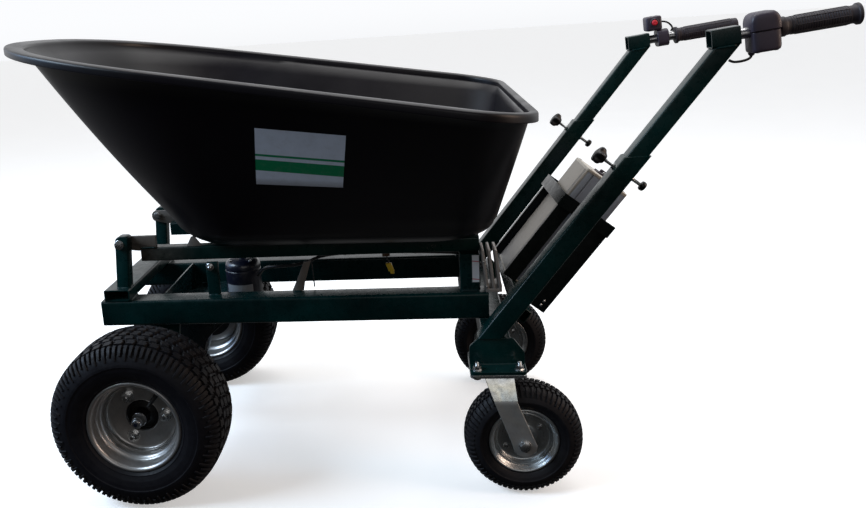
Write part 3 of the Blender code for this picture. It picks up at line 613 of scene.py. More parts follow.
def zinc(name, dull=False):
    """Bright zinc plating with faint blue and straw tints and a spangled skin; the dull copy is greyed and darkened as
    painted shade, and is rougher with more dirt.
    """
    p = Paint(name)
    tint = p.ramp(p.noise(11, 3, 0.5, distortion=1.2), [(0.30, (0.52, 0.60, 0.66)), (0.45, (0.66, 0.68, 0.68)), (0.56, (0.70, 0.69, 0.60)), (0.72, (0.56, 0.64, 0.68))])
    # painted shade: the dull copy's tint is pulled towards dark grey
    if dull:
        tint = p.mix(0.75, tint, (0.36, 0.355, 0.345))
    spangle = p.voronoi(170)
    base = p.mix(p.span(spangle, 0.1, 0.8, 0.0, 0.25), tint, (0.34, 0.35, 0.36))
    dirt = p.math('MULTIPLY', p.span(p.noise(60, 6, 0.7), 0.52, 0.74), 0.40 if dull else 0.18)
    colour = p.mix(dirt, base, (0.13, 0.12, 0.11))
    low = 0.42 if dull else 0.20
    r = p.math('ADD', p.span(p.noise(75, 5, 0.6), 0.3, 0.7, low - 0.04, low + 0.12), p.math('MULTIPLY', dirt, 0.4))
    n = p.bump(p.noise(520, 3), 0.10 if dull else 0.05, 0.0002)
    return p.set(colour=colour, rough=r, metal=0.95 if not dull else 0.75, normal=n)


ZINC = zinc("zinc_plate_bright")
# painted shade: a darker, greyer copy of the zinc for the fork legs below the bend
ZINC_PAINTED_SHADE = zinc("zinc_plate_painted_shade", True)


def brushed(name, a, b, rough=0.34, turn=0.0, metallic=0.85, painted_top_reflection=None):
    """Extruded or brushed aluminium, with its lines along the handle direction; an optional painted top reflection
    colour goes on up-facing faces.
    """
    p = Paint(name)
    vec = p.stretch(14, 900, 900, (0, turn, 0))
    lines = p.noise(1.0, 4, 0.65, at=vec)
    base = p.mix(p.span(p.noise(8, 4), 0.3, 0.7), a, b)
    if painted_top_reflection:
        # painted reflection: faces that look up take the given top colour
        base = p.mix(p.upward(0.25, 0.55), base, painted_top_reflection)
    base = p.mix(p.span(lines, 0.35, 0.72, 0.0, 0.30), base, tuple(c * 0.68 for c in a))
    scuff = p.math('MULTIPLY', p.span(p.noise(90, 6, 0.72), 0.55, 0.70), 0.35)
    colour = p.mix(scuff, base, (0.20, 0.19, 0.18))
    r = p.math('ADD', p.span(lines, 0.3, 0.7, rough - 0.06, rough + 0.10), p.math('MULTIPLY', scuff, 0.3))
    n = p.bump(lines, 0.12, 0.00015)
    return p.set(colour=colour, rough=r, metal=metallic, normal=n)


# painted reflection: the blue-grey sides and the warm beige top stand in for reflections on silver aluminium
ALU = brushed("battery_aluminium", (0.25, 0.29, 0.36), (0.34, 0.39, 0.47), turn=H_ANGLE, metallic=0.55, rough=0.36, painted_top_reflection=(0.235, 0.205, 0.165))
ALU_TOP = brushed("battery_end_cap", (0.50, 0.47, 0.42), (0.62, 0.59, 0.53), turn=H_ANGLE, metallic=0.35, rough=0.42)
FINS = brushed("heatsink_aluminium", (0.30, 0.28, 0.265), (0.42, 0.40, 0.38), turn=1.3, metallic=0.6, rough=0.42)


def gloss(name, a, b, rough=0.2, spec=0.5, coat=0.5, bump=0.05):
    p = Paint(name)
    base = p.mix(p.span(p.noise(20, 4), 0.35, 0.7), a, b)
    mask = p.math('MULTIPLY', p.span(p.noise(80, 6, 0.7), 0.5, 0.75), 0.25)
    r = p.math('ADD', p.span(p.noise(60, 4), 0.3, 0.7, rough - 0.04, rough + 0.08), p.math('MULTIPLY', mask, 0.4))
    n = p.bump(p.noise(800, 2), bump, 0.0002)
    return p.set(colour=p.mix(mask, base, (0.09, 0.085, 0.08)), rough=r, spec=spec, coat=coat, coat_rough=0.1, normal=n)


RED = gloss("red_button_gloss", (0.62, 0.012, 0.030), (0.75, 0.020, 0.045), rough=0.28, coat=0.4)
MOTOR = gloss("motor_paint", (0.0030, 0.0042, 0.0140), (0.0065, 0.0085, 0.0220), rough=0.32, coat=0.25, bump=0.10)
PLATE = metal("blank_nameplate", (0.34, 0.36, 0.39), (0.46, 0.48, 0.51), rough=0.38, grain=(60, 60, 900), dirt=0.2, metallic=0.45)


def vinyl(name, ground, ink, bands):
    """A plain vinyl panel; the bands are plain stripes given as (low, high) heights in metres."""
    p = Paint(name)
    sep = p.tree.nodes.new("ShaderNodeSeparateXYZ")
    p.link(p.co, sep.inputs["Vector"])
    colour = p.mix(p.span(p.noise(30, 5), 0.4, 0.7, 0.0, 0.5), ground, tuple(c * 0.86 for c in ground))
    slope = p.math('ADD', sep.outputs["Z"], p.math('MULTIPLY', sep.outputs["X"], 0.12))
    for low, high in bands:
        mask = p.math('MULTIPLY', p.span(slope, low, low + 0.0006), p.span(slope, high + 0.0006, high))
        colour = p.mix(mask, colour, ink)
    grime = p.math('MULTIPLY', p.span(p.noise(55, 6, 0.7), 0.5, 0.75), 0.20)
    colour = p.mix(grime, colour, (0.30, 0.28, 0.28))
    n = p.bump(p.noise(60, 3), 0.15, 0.0006)
    n = p.bump(p.noise(900, 2), 0.05, 0.0001, n)
    return p.set(colour=colour, rough=p.span(p.noise(40, 4), 0.3, 0.7, 0.30, 0.45), normal=n)


# ------------------------------------------------------------------ tub
RIM_A, RIM_B = 1013.6, -0.168
RIM_X0, RIM_X1 = -288.0, 895.0
RIM_W0, RIM_W1, RIM_XN, RIM_P, RIM_RC = 467.0, 492.0, 195.0, 2.42, 148.0
TUB_T, LIP_W, LIP_REAR = 6.0, 34.0, 12.0
FLOOR_Z = 553.6
FLOOR_X0, FLOOR_X1, FLOOR_W0, FLOOR_W1 = 97.0, 815.0, 204.0, 222.0


def lerp(a, b, k):
    return a + (b - a) * k


def tub_outline(inset, drop):
    x0 = lerp(RIM_X0 + LIP_W, FLOOR_X0, drop) + (inset - LIP_W)
    past = inset - LIP_W
    x1 = lerp(RIM_X1 - LIP_REAR, FLOOR_X1, drop) - (past if past > 0 else past * LIP_REAR / LIP_W)
    w0 = lerp(RIM_W0 - LIP_W, FLOOR_W0, drop) - (inset - LIP_W)
    w1 = lerp(RIM_W1 - LIP_W, FLOOR_W1, drop) - (inset - LIP_W)
    xn = lerp(RIM_XN, 250.0, drop)
    rc = lerp(RIM_RC - LIP_W, 95.0, drop)
    if inset < LIP_W:
        rc += LIP_W - inset
    half = []
    for i in range(44):
        a = pi / 2 * i / 44
        half.append((xn - (xn - x0) * cos(a) ** (2 / RIM_P), -w0 * sin(a) ** (2 / RIM_P)))
    for i in range(10):
        f = i / 10
        half.append((xn + (x1 - rc - xn) * f, -(w0 + (w1 - w0) * f)))
    for i in range(19):
        a = pi / 2 * i / 18
        half.append((x1 - rc + rc * sin(a), -(w1 - rc + rc * cos(a))))
    return half + [(x, -y) for x, y in reversed(half[1:])]


def tub_ring(inset, drop, down=0.0):
    pts = []
    for x, y in tub_outline(inset, drop):
        rim = RIM_A + RIM_B * x
        pts.append((x, y, rim + (FLOOR_Z - rim) * drop - down))
    return pts


def bow(k):
    return 3.5 * sin(pi * k)


lip = rounded([(34, 14), (34, 7.6), (5.6, 7.0), (5.0, 19.0), (0, 19.0), (0, 2.0), (13, 0), (40, 1.6), (40, 16)],
              [0, 6, 4, 2.2, 2.2, 11, 12, 13, 0], 6, closed=False)
rings = []
for k in range(9):                      # rounded edge between the floor and the wall, outside
    a = pi / 2 * k / 8
    z = FLOOR_Z + 48 * (1 - cos(a))
    rings.append([(x, y, z) for x, y in tub_outline(LIP_W + 64 * (1 - sin(a)), 1.0 - 0.12 * (1 - cos(a)))])
for k in range(1, 14):
    d = 0.06 + 0.82 * (1 - k / 13)
    rings.append(tub_ring(LIP_W - bow(d / 0.88), d))
rings += [tub_ring(p.x, 0.0, p.y) for p in lip]
for k in range(13, 0, -1):
    d = 0.06 + 0.82 * (1 - k / 13)
    rings.append(tub_ring(LIP_W + TUB_T - bow(d / 0.88), d))
for k in range(8, -1, -1):
    a = pi / 2 * k / 8
    z = FLOOR_Z + TUB_T + 48 * (1 - cos(a))
    rings.append([(x, y, z) for x, y in tub_outline(LIP_W + TUB_T + 64 * (1 - sin(a)), 1.0 - 0.12 * (1 - cos(a)))])
make("tub_body", skin(rings), POLY, "tub", cad="tub_shell", smooth=55)


def wall_point(x, k, off=0.0):
    """A point on the outside of the tub's left wall, at the share k of the way down."""
    w0, w1 = lerp(RIM_W0 - LIP_W, FLOOR_W0, k), lerp(RIM_W1 - LIP_W, FLOOR_W1, k)
    xn, x1, rc = lerp(RIM_XN, 250.0, k), lerp(RIM_X1 - LIP_REAR, FLOOR_X1, k), lerp(RIM_RC - LIP_W, 95.0, k)
    f = (x - xn) / (x1 - rc - xn)
    y = -(w0 + (w1 - w0) * f) - bow(min(1.0, k / 0.88)) - off
    rim = RIM_A + RIM_B * x
    return Vector((x, y, rim + (FLOOR_Z - rim) * k + off * 0.4))


def sheet_on_wall(xa0, xa1, xb0, xb1, k0, k1, off, thick, nu=14, nv=8):
    """A thin panel laid on the wall: xa at its upper edge, xb at its lower."""
    def layer(o):
        return [[wall_point(lerp(lerp(xa0, xa1, u / nu), lerp(xb0, xb1, u / nu), v / nv), lerp(k0, k1, v / nv),
                            o + 0.25 * noise.noise(Vector((u * 0.5, v * 0.6, 3.0)))) for u in range(nu + 1)] for v in range(nv + 1)]
    bm = bmesh.new()
    lower, upper = layer(off), layer(off + thick)
    vs = [[[bm.verts.new(p) for p in row] for row in lay] for lay in (lower, upper)]
    for v in range(nv):
        for u in range(nu):
            for lay in (0, 1):
                g = vs[lay]
                bm.faces.new((g[v][u], g[v][u + 1], g[v + 1][u + 1], g[v + 1][u]))
    edge = [(0, u) for u in range(nu)] + [(v, nu) for v in range(nv)] + [(nv, u) for u in range(nu, 0, -1)] + [(v, 0) for v in range(nv, 0, -1)]
    for i, (v, u) in enumerate(edge):
        v2, u2 = edge[(i + 1) % len(edge)]
        bm.faces.new((vs[0][v][u], vs[0][v2][u2], vs[1][v2][u2], vs[1][v][u]))
    return bm


STICKER = vinyl("tub_panel_vinyl", (0.66, 0.73, 0.87), (0.0, 0.23, 0.09), [(0.732, 0.758), (0.766, 0.771)])
make("side_panel", sheet_on_wall(334, 518, 312, 498, 0.238, 0.562, 0.9, 0.6), STICKER, "tub", smooth=60)


# ------------------------------------------------------------------ tyres
class Surface:
    """Half of a tyre's outer section by arc length: u from the middle of the tread round the shoulder."""

    def __init__(self, half):
        pts = [Vector((-half[1][0], half[1][1]))] + [Vector(p) for p in half]
        pts = rounded(pts, 9.0, 6, closed=False)[0:]
        pts = [p for p in pts if p.x >= -1e-6]
        pts = [Vector((0, half[0][1]))] + [p for p in pts if p.x > 0.5]
        self.pts = pts
        self.len = [0.0]
        for a, b in zip(pts, pts[1:]):
            self.len.append(self.len[-1] + (b - a).length)

    def at(self, u):
        side = 1 if u >= 0 else -1
        u = min(abs(u), self.len[-1] - 1e-4)
        i = 0
        while self.len[i + 1] < u:
            i += 1
        a, b = self.pts[i], self.pts[i + 1]
        f = (u - self.len[i]) / (self.len[i + 1] - self.len[i])
        p, t = a.lerp(b, f), (b - a).normalized()
        return Vector((p.x * side, p.y)), Vector((-t.y * side, t.x))


def tread_block(surf, place, big_r, stations, depth, base_off, cham=1.0, rise=0.0):
    """One tread block: stations are (u, a0, a1) across the tread, with a along the circumference."""
    rings = []
    last = len(stations) - 1
    for i, (u, a0, a1) in enumerate(stations):
        inner = 1 if i == 0 else -1 if i == last else 0
        step = cham * inner * (1 if stations[-1][0] > stations[0][0] else -1)

        def pt(uu, a, h):
            p, n = surf.at(uu)
            if n.y < 0:
                n = -n
            q = p + n * h
            ang = a / big_r
            return place(q.x, q.y * cos(ang), q.y * sin(ang))
        c = cham
        rings.append([pt(u, a0, -depth - base_off), pt(u + step * 0.3, a0 + c * 0.35, -1.0 + rise), pt(u + step, a0 + c, rise),
                      pt(u + step, (a0 + a1) / 2, rise), pt(u + step, a1 - c, rise), pt(u + step * 0.3, a1 - c * 0.35, -1.0 + rise),
                      pt(u, a1, -depth - base_off)])
    return skin(rings)


def tyre(name, cad, body, centre, out, half, depth, sidewall, pitches, rows, mats, steps=96):
    surf = Surface(half)
    place = about_y(*centre, out)
    big_r = half[0][1]
    shape = []
    for k in range(0, 60):
        u = surf.len[-1] * k / 59
        p, n = surf.at(u)
        if n.y < 0 and abs(n.y) > 0.2:
            n = -n
        d = depth * (1 - max(0.0, (u / surf.len[-1] - 0.72) / 0.28) ** 0.8)
        shape.append((p.x - abs(n.x) * d * 1.0, p.y - abs(n.y) * d))
    right = shape + sidewall
    prof = [(-t, r) for t, r in reversed(right)] + right[1:]
    inner_r = sidewall[-1][1]
    tmax = sidewall[-1][0]
    hollow = [(tmax - 4, inner_r + 8), (half[-1][0] - 12, half[-1][1] - 8), (half[2][0] - 14, big_r - depth - 9),
              (-half[2][0] + 14, big_r - depth - 9), (-half[-1][0] + 12, half[-1][1] - 8), (-tmax + 4, inner_r + 8)]
    parts = [turned(prof + hollow, steps, place, closed=True)]
    pitch = 2 * pi * big_r / pitches
    for i in range(pitches):
        for row in rows:
            for phase, stations in row:
                for side in (1, -1):
                    shift = pitch * (i + phase + (0.5 if side < 0 else 0.0))
                    st = [(u * side, a0 + shift, a1 + shift) for u, a0, a1 in stations]
                    if side < 0 and stations[0][0] < 0:
                        continue
                    parts.append((tread_block(surf, place, big_r, st, depth, 1.2), 1))
    return make(name, join(*parts), mats, body, cad=cad, smooth=34)


DRIVE_HALF = [(0, 203), (34, 202.6), (58, 199.4), (70, 193), (77.5, 183), (81, 170), (82, 158)]
DRIVE_SIDE = rounded([(82, 157), (82.4, 154.5), (82.4, 152.5), (81.2, 151), (80.6, 143), (77.5, 130), (72.5, 119.5), (72.8, 118), (71, 116.2),
                      (65, 110.0), (62, 105.4), (58.5, 102.6)], 1.5, 3, closed=False)
DRIVE_SIDE = [(p.x, p.y) for p in DRIVE_SIDE]
drive_rows = [
    [(0.0, [(-11, -3, 15), (-4, -6, 12), (4, 0, 18), (11, -3, 15)])],
    [(0.20, [(15, 2, 20), (22, -4, 14), (24, 0, 18), (33, -5, 13)])],
    [(0.62, [(37, 1, 20), (44, 6, 25), (46.5, 1, 20), (56, 5, 24)])],
    [(0.10, [(60, 0, 9.6), (66, 0.6, 9.8), (73, 0.8, 9.6), (82, 1.0, 9.0), (91, 1.6, 8.4), (99, 2.4, 7.6)]),
     (0.60, [(60, 0, 9.6), (66, 0.6, 9.8), (73, 0.8, 9.6), (82, 1.2, 9.0), (89, 2.2, 8.0)])],
]
for side, word in ((-1, "left"), (1, "right")):
    tyre("turf_tyre_" + word, "tyre_" + word, "drive_wheels", (0, side * 327.0, 203.0), side, DRIVE_HALF, 6.5, DRIVE_SIDE, 46,
         drive_rows, [SIDEWALL, TREAD])

CASTER_HALF = [(0, 130), (16, 129.6), (29, 126), (37, 119), (41.5, 109), (43, 98)]
CASTER_SIDE = [(p.x, p.y) for p in rounded([(43, 97.5), (43, 95.5), (42, 94.6), (40, 88), (36, 81.5), (33, 78.5), (30.4, 76.3)], 1.2, 3, closed=False)]
caster_rows = [
    [(0.0, [(-5.5, -2.5, 6.5), (0, 0.5, 9.5), (5.5, -2.5, 6.5)])],
    [(0.35, [(8.5, 1.5, 9.8), (14, -1.5, 6.8), (20, 1.0, 9.3)])],
    [(0.05, [(23, 0, 8.6), (29, 0.4, 8.4), (36, 0.6, 8.2), (43, 1.0, 7.6), (50, 1.6, 7.0)])],
]
for side, word in ((-1, "left"), (1, "right")):
    tyre("caster_wheel_tyre_" + word, "caster_tyre_" + word, "caster_wheel_" + word, (867.0, side * 289.0, 130.0), side, CASTER_HALF,
         4.2, CASTER_SIDE, 64, caster_rows, [CASTER_RUBBER, CASTER_RUBBER], steps=80)


# ------------------------------------------------------------------ sheet metal turned from its middle line
def shell_of(mid, thick, place, steps=72):
    """A turned sheet: mid is a polyline of (along, radius), with the sheet's thickness laid half to each side."""
    pts = [Vector(p) for p in mid]
    left, right = [], []
    for i, p in enumerate(pts):
        a, b = pts[max(i - 1, 0)], pts[min(i + 1, len(pts) - 1)]
        t = (b - a).normalized()
        n = Vector((-t.y, t.x)) * (thick / 2)
        left.append(p + n)
        right.append(p - n)
    loop = left + list(reversed(right))
    return turned([(q.x, q.y) for q in loop], steps, place, closed=True)


for side, word in ((-1, "left"), (1, "right")):
    pl = about_y(0, side * 327.0, 203.0, side)
    half = [(8, 87.6), (27, 88.4), (33, 91.5), (37, 97.5), (44, 100.3), (58, 100.3), (64.5, 101.8), (67.8, 106.0), (67.6, 109.2), (64.4, 110.4)]
    mid = [(-t, r) for t, r in reversed(half)] + half
    barrel = shell_of(rounded(mid, 3.2, 4, closed=False), 2.6, pl)
    disc = shell_of(rounded([(17, 85.9), (8, 85.2), (4.2, 79), (3.0, 68), (3.0, 40.2), (3.6, 38.9)], 4.5, 5, closed=False), 4.4, pl)
    extra = []
    for k in range(3):                       # raised seats round the wheel nuts
        a = rad(2 + 120 * k)
        c = pl(5.0, 57 * cos(a), 57 * sin(a))
        extra.append(turned([(-0.6, 17.0), (0.3, 16.2), (0.9, 14.5), (1.1, 9.0)], 30, about(c, (0, side, 0))))
    make("wheel_rim_" + word, join(barrel, disc, *extra), RIM, "drive_wheels", cad="rim_" + word, smooth=32)
    nuts = []
    for k in range(3):
        a = rad(2 + 120 * k)
        c = pl(6.0, 57 * cos(a), 57 * sin(a))
        nuts.append(bolt(c, (0, side, 0), flats=21.5, high=10.0, wash=15.8, spin=0.3 + k, stud=4.0))
    make("wheel_nuts_" + word, join(*nuts), BRIGHT, "drive_wheels", smooth=30)
    # hub: black, with its flange behind the disc
    hub = turned(rounded([(-62, 13.2), (24, 13.2), (24, 17.0), (2, 18.5), (-4.5, 34), (-0.5, 37), (-0.5, 62), (-9, 62), (-9.5, 34), (-62, 30)],
                         [1, 1, 1.5, 4, 2, 1, 1, 1, 4, 1.5], 4), 48, pl, closed=True)
    make("wheel_hub_" + word, hub, HUB, "drive_wheels", cad="hub_" + word, smooth=32)
    # valve stem out of the rim's well, pointing at the hub
    a = rad(52)
    way = [pl(t, r * cos(a), r * sin(a)) for t, r in ((20, 87.5), (21, 80), (24, 70), (27.5, 58), (30, 50), (32, 43))]

    def stem(f):
        return 7.6 if f < 0.05 else 6.6 - 2.8 * f if f < 0.66 else 4.6 if f < 0.97 else 3.9
    make("valve_stem_" + word, sweep(catmull(way, 4), stem, 16), CABLE, "drive_wheels", smooth=40)

# drive axle with its washers, lock nuts and threaded ends
ax = about_y(0, 0, 203.0, 1)
parts = [turned([(-353, 12.4), (353, 12.4)], 40, ax)]
for side in (-1, 1):
    e = about_y(0, 0, 203.0, side)
    parts.append(washer(e, 351.6, 354.4, 17.0))
    parts.append(hex_head(e, 354.2, 370.5, 26.0, turn=0.4))
    parts.append(turned([(370.0, 12.2), (373.2, 11.8), (374.2, 11.2)], 32, e))
    parts.append(threads(e, 352, 380.4, 10.4, 1.9))
    parts.append((turned([(380.2, 4.6), (380.9, 4.4)], 20, e), 1))
make("drive_axle", join(*parts), [STEEL, MOTOR], "drive_wheels", cad="axle", smooth=32)

# ------------------------------------------------------------------ casters
WIDTHS = [(104.0, 866.0, 868.0), (104.8, 860.2, 873.8), (107, 854.4, 879.6), (111, 849.2, 884.8), (117, 844.6, 889.6), (124, 842.2, 892.2), (130, 841, 893),
          (232, 803, 852), (276, 786, 847), (293, 781, 846)]


def widths(z):
    for (z0, a0, b0), (z1, a1, b1) in zip(WIDTHS, WIDTHS[1:]):
        if z <= z1:
            f = max(0.0, (z - z0) / (z1 - z0))
            return a0 + (a1 - a0) * f, b0 + (b1 - b0) * f
    return WIDTHS[-1][1], WIDTHS[-1][2]


for side, word in ((-1, "left"), (1, "right")):
    cy = side * 289.0
    down = [Vector((53.5, z)) for z in (104.4, 105, 107, 111, 117, 124, 130, 160, 195, 222)]
    bend = rounded([(53.5, 222), (53.5, 233), (38.6, 273), (30.5, 289.3), (14, 289.3)], [0, 6, 9, 5, 0], 5, closed=False)
    leg = down + bend[1:]
    path = leg + [Vector((-p.x, p.y)) for p in reversed(leg)]
    rings, marks = [], []
    for i, p in enumerate(path):
        a, b = path[max(i - 1, 0)], path[min(i + 1, len(path) - 1)]
        t = (b - a).normalized()
        n = Vector((t.y, -t.x))
        half = 2.5 if abs(p.x) > 33 else 2.9
        xf, xr = widths(p.y)
        o, q = p + n * half, p - n * half
        e = 0.8
        rings.append([(xf + e, cy + o.x, o.y), (xr - e, cy + o.x, o.y), (xr, cy + o.x - n.x * e, o.y - n.y * e), (xr, cy + q.x + n.x * e, q.y + n.y * e),
                      (xr - e, cy + q.x, q.y), (xf + e, cy + q.x, q.y), (xf, cy + q.x + n.x * e, q.y + n.y * e), (xf, cy + o.x - n.x * e, o.y - n.y * e)])
        marks.append(p.y)
    strip = skin(rings)
    # faces below the bend take the dull zinc as painted shade on the fork legs; the bend above stays bright
    for f in strip.faces:
        if f.calc_center_median().z < 236:
            f.material_index = 1
    tmp = bpy.data.meshes.new("tmp")
    strip.to_mesh(tmp)
    holder = bmesh.new()
    holder.from_mesh(tmp)
    strip.free()
    axle_bolt = []
    for s2 in (-1, 1):
        e = about_y(867.0, cy, 130.0, s2)
        axle_bolt.append((washer(e, 55.8, 58.0, 13.5), 2))
        axle_bolt.append((hex_head(e, 57.8, 65.0, 20.0, turn=0.25 if s2 < 0 else 0.6), 2))
    axle_bolt.append((turned([(-56, 7.8), (56, 7.8)], 24, about_y(867.0, cy, 130.0)), 2))
    king = turned([(283.0, 9), (283.4, 11), (286.6, 11)], 6, about_z(812.0, cy))
    holder_bm = join(*axle_bolt, (king, 2))
    tmp2 = bpy.data.meshes.new("tmp2")
    holder_bm.to_mesh(tmp2)
    holder_bm.free()
    holder.from_mesh(tmp2)
    make("caster_yoke_" + word, holder, [ZINC, ZINC_PAINTED_SHADE, BRIGHT], "caster_" + word, cad="caster_fork_" + word, smooth=32)

    pl = about_y(867.0, cy, 130.0, 1)
    barrel = []
    for s2 in (-1, 1):
        e = about_y(867.0, cy, 130.0, s2)
        barrel.append(shell_of(rounded([(1.2, 62.5), (16, 62.5), (24, 65.2), (29, 70.5), (33.4, 73.0), (33.6, 75.6), (31.4, 76.2)], 2.4, 4, closed=False), 2.0, e, 64))
        barrel.append(shell_of(rounded([(20.5, 62.9), (9.5, 58.5), (8.0, 54), (8.0, 30), (12, 24), (14, 20.5)], 3.0, 4, closed=False), 2.2, e, 64))
        for k in range(4):
            a = rad(31.7 + 90 * k) * 1
            c = e(9.2, 43.6 * cos(a), 43.6 * sin(a))
            barrel.append((turned([(-0.4, 7.0), (1.6, 6.8), (3.2, 5.6), (4.0, 3.2), (4.1, 0.5)], 20, about(c, (0, s2, 0))), 1))
    barrel.append((turned(rounded([(-46, 8.6), (46, 8.6), (46, 15.5), (30, 16.5), (12, 20.5), (-12, 20.5), (-30, 16.5), (-46, 15.5)], 1.5, 3), 36, pl, closed=True), 1))
    make("caster_wheel_disc_" + word, join(*barrel), [CASTER_RIM, BRIGHT], "caster_wheel_" + word, cad="caster_rim_" + word, smooth=32)


# ------------------------------------------------------------------ chassis tubes
for side, word in ((-1, "left"), (1, "right")):
    make("frame_rail_" + word, box_tube((-126, side * 157, 400.5), (805, side * 157, 400.5), (0, 1, 0), (0, 0, 1), 60, 63, 3.0, 7.5, 5, steps=1),
         GREEN, "chassis", cad="rail_" + word)
make("front_cross_tube", box_tube((-83, -187, 446.8), (-83, 187, 446.8), (1, 0, 0), (0, 0, 1), 64, 29, 3.0, 4.5), GREEN_WORN, "chassis", cad="cross_front")
shelf = rounded([(18, 431.8), (18, 369), (140, 369), (140, 373), (22, 373), (22, 431.8)], [1, 4, 1, 1, 2, 1], 4)
# the shelf wears the lighter green copy as painted light
make("motor_shelf", prism(shelf, -126.7, 126.7, edge=0.6), GREEN_PAINTED_LIGHT, "chassis", cad="cross_mid", smooth=32)
make("rear_cross_tube", box_tube((812, -300, 338.7), (812, 300, 338.7), (1, 0, 0), (0, 0, 1), 60, 60, 3.0, 7), GREEN, "chassis", cad="rear_beam")

for side, word in ((-1, "left"), (1, "right")):
    post = rounded([(-86, 461.6), (-54, 461.6), (-45.5, 562), (-43, 586), (-48, 590.6), (-68, 590.6), (-75.5, 584)], [1, 1, 12, 5, 5, 5, 12], 4)
    y0, y1 = sorted((side * 142.3, side * 172.0))
    make("pivot_upright_" + word, prism(post, y0, y1, edge=2.2), GREEN, "chassis", cad="pivot_post_" + word, smooth=32)
    make("rear_rest_" + word, box_tube((764, side * 140, 432.3), (764, side * 140, 518.6), (1, 0, 0), (0, 1, 0), 45, 50, 3.0, 5), GREEN, "chassis",
         cad="rear_upright_" + word)
    y0, y1 = sorted((side * 150.0, side * 164.0))
    hang = rounded([(-60, 368.6), (-34, 196), (-22, 168), (22, 168), (34, 196), (60, 368.6)], [0.5, 26, 22, 22, 26, 0.5], 5)
    make("axle_hanger_plate_" + word, prism(hang, y0, y1, edge=1.5), GREEN, "chassis", cad="axle_hanger_" + word, smooth=32)
    # bearing flange with three bolts on the hanger's outer face
    o = (0, side * 164.2, 203.0)
    pl = about(o, (0, side, 0))
    ring = [turned(rounded([(0, 36), (4.0, 35), (6.5, 24), (7.5, 20), (7.5, 13.4), (0, 13.4)], [0.5, 1.5, 3, 2, 1, 0.5], 3), 36, pl, closed=True)]
    for k in range(3):
        a = rad(90 + 120 * k)
        ring.append((bolt(pl(4.6, 28 * cos(a), 28 * sin(a)), (0, side, 0), 10, 5, 0, 0.3 * k, 2), 1))
    make("bearing_flange_" + word, join(*ring), [STEEL, BRIGHT], "chassis", smooth=32)

# weld beads where the tubes meet
welds = []
for side in (-1, 1):
    yo, yi = side * 187, side * 127
    for x in (-115.0, -51.0):
        welds.append(bead((x, yo + side * -2, 432.2), (x, yi, 432.2), 2.6, x))
    welds.append(bead((-86, side * 141.5, 461.6), (-54, side * 141.5, 461.6), 2.4, 2))
    welds.append(bead((-86, side * 172.5, 461.6), (-54, side * 172.5, 461.6), 2.4, 5))
    welds.append(bead((-53.5, side * 143, 461.6), (-53.5, side * 171, 461.6), 2.4, 9))
    for x in (17.0, 23.0):
        welds.append(bead((x, side * 126.6, 377), (x, side * 126.6, 429), 2.0, x + 3))
    welds.append(bead((28, side * 126.6, 373.8), (136, side * 126.6, 373.8), 2.2, 11))
    for y in (side * 115, side * 165):
        welds.append(bead((743, y, 432.2), (785, y, 432.2), 2.4, y))
    for x in (741.5, 786.5):
        welds.append(bead((x, side * 118, 432.2), (x, side * 162, 432.2), 2.4, x))
    welds.append(bead((784, side * 187.4, 369.0), (804, side * 187.4, 369.0), 2.6, 4))
    for x in (782.0, 842.0):
        welds.append(bead((x, side * 130, 369.0), (x, side * 185, 369.0), 2.2, x) if x < 805 else bead((805.2, side * 132, 369.5), (805.2, side * 183, 369.5), 2.4, 7))
    welds.append(bead((-60, side * 164.4, 369.2), (60, side * 164.4, 369.2), 2.2, 21))
    welds.append(bead((777, side * 300.4, 310.0), (777, side * 300.4, 366.0), 2.0, 31))
welds.append(bead((138, -151.4, 432.2), (164, -151.4, 432.2), 2.2, 41))
welds.append(bead((345, -140.4, 432.2), (364, -140.4, 432.2), 2.0, 43))
make("frame_welds", join(*welds), BEAD, "chassis", smooth=70)

# bracket for the motor with its bolt, and the leaning stay
bracket = [slab(136, 166, -151, -139, 432.4, 514, 2.4, None)]
bracket.append((bolt((146.5, -151.0, 503.0), (0, -1, 0), 13, 6.5, 9.5, 0.25, 3.0), 1))
make("motor_bracket_plate", join(*bracket), [GREEN, BRIGHT], "chassis", cad="motor_bracket", smooth=32)
stay = rounded([(343, 432.4), (366, 432.4), (392, 508), (373, 503)], [0.5, 0.5, 3, 3], 4)
foot = rounded([(341, 432.5), (369, 432.5), (374, 458), (352, 456)], [0.5, 0.5, 2, 2], 3)
make("leaning_stay", join(prism(stay, -140, -134, edge=0.8), (prism(foot, -134.2, -130.6, edge=0.6), 1)), [WORN, GREEN], "chassis", cad="stay_bar", smooth=32)
make("stay_rod", sweep(catmull([(392.5, -112, 433.5), (391, -111, 455), (389.5, -110, 480), (389, -109, 500)], 5), 1.6, 10), CABLE, "chassis")

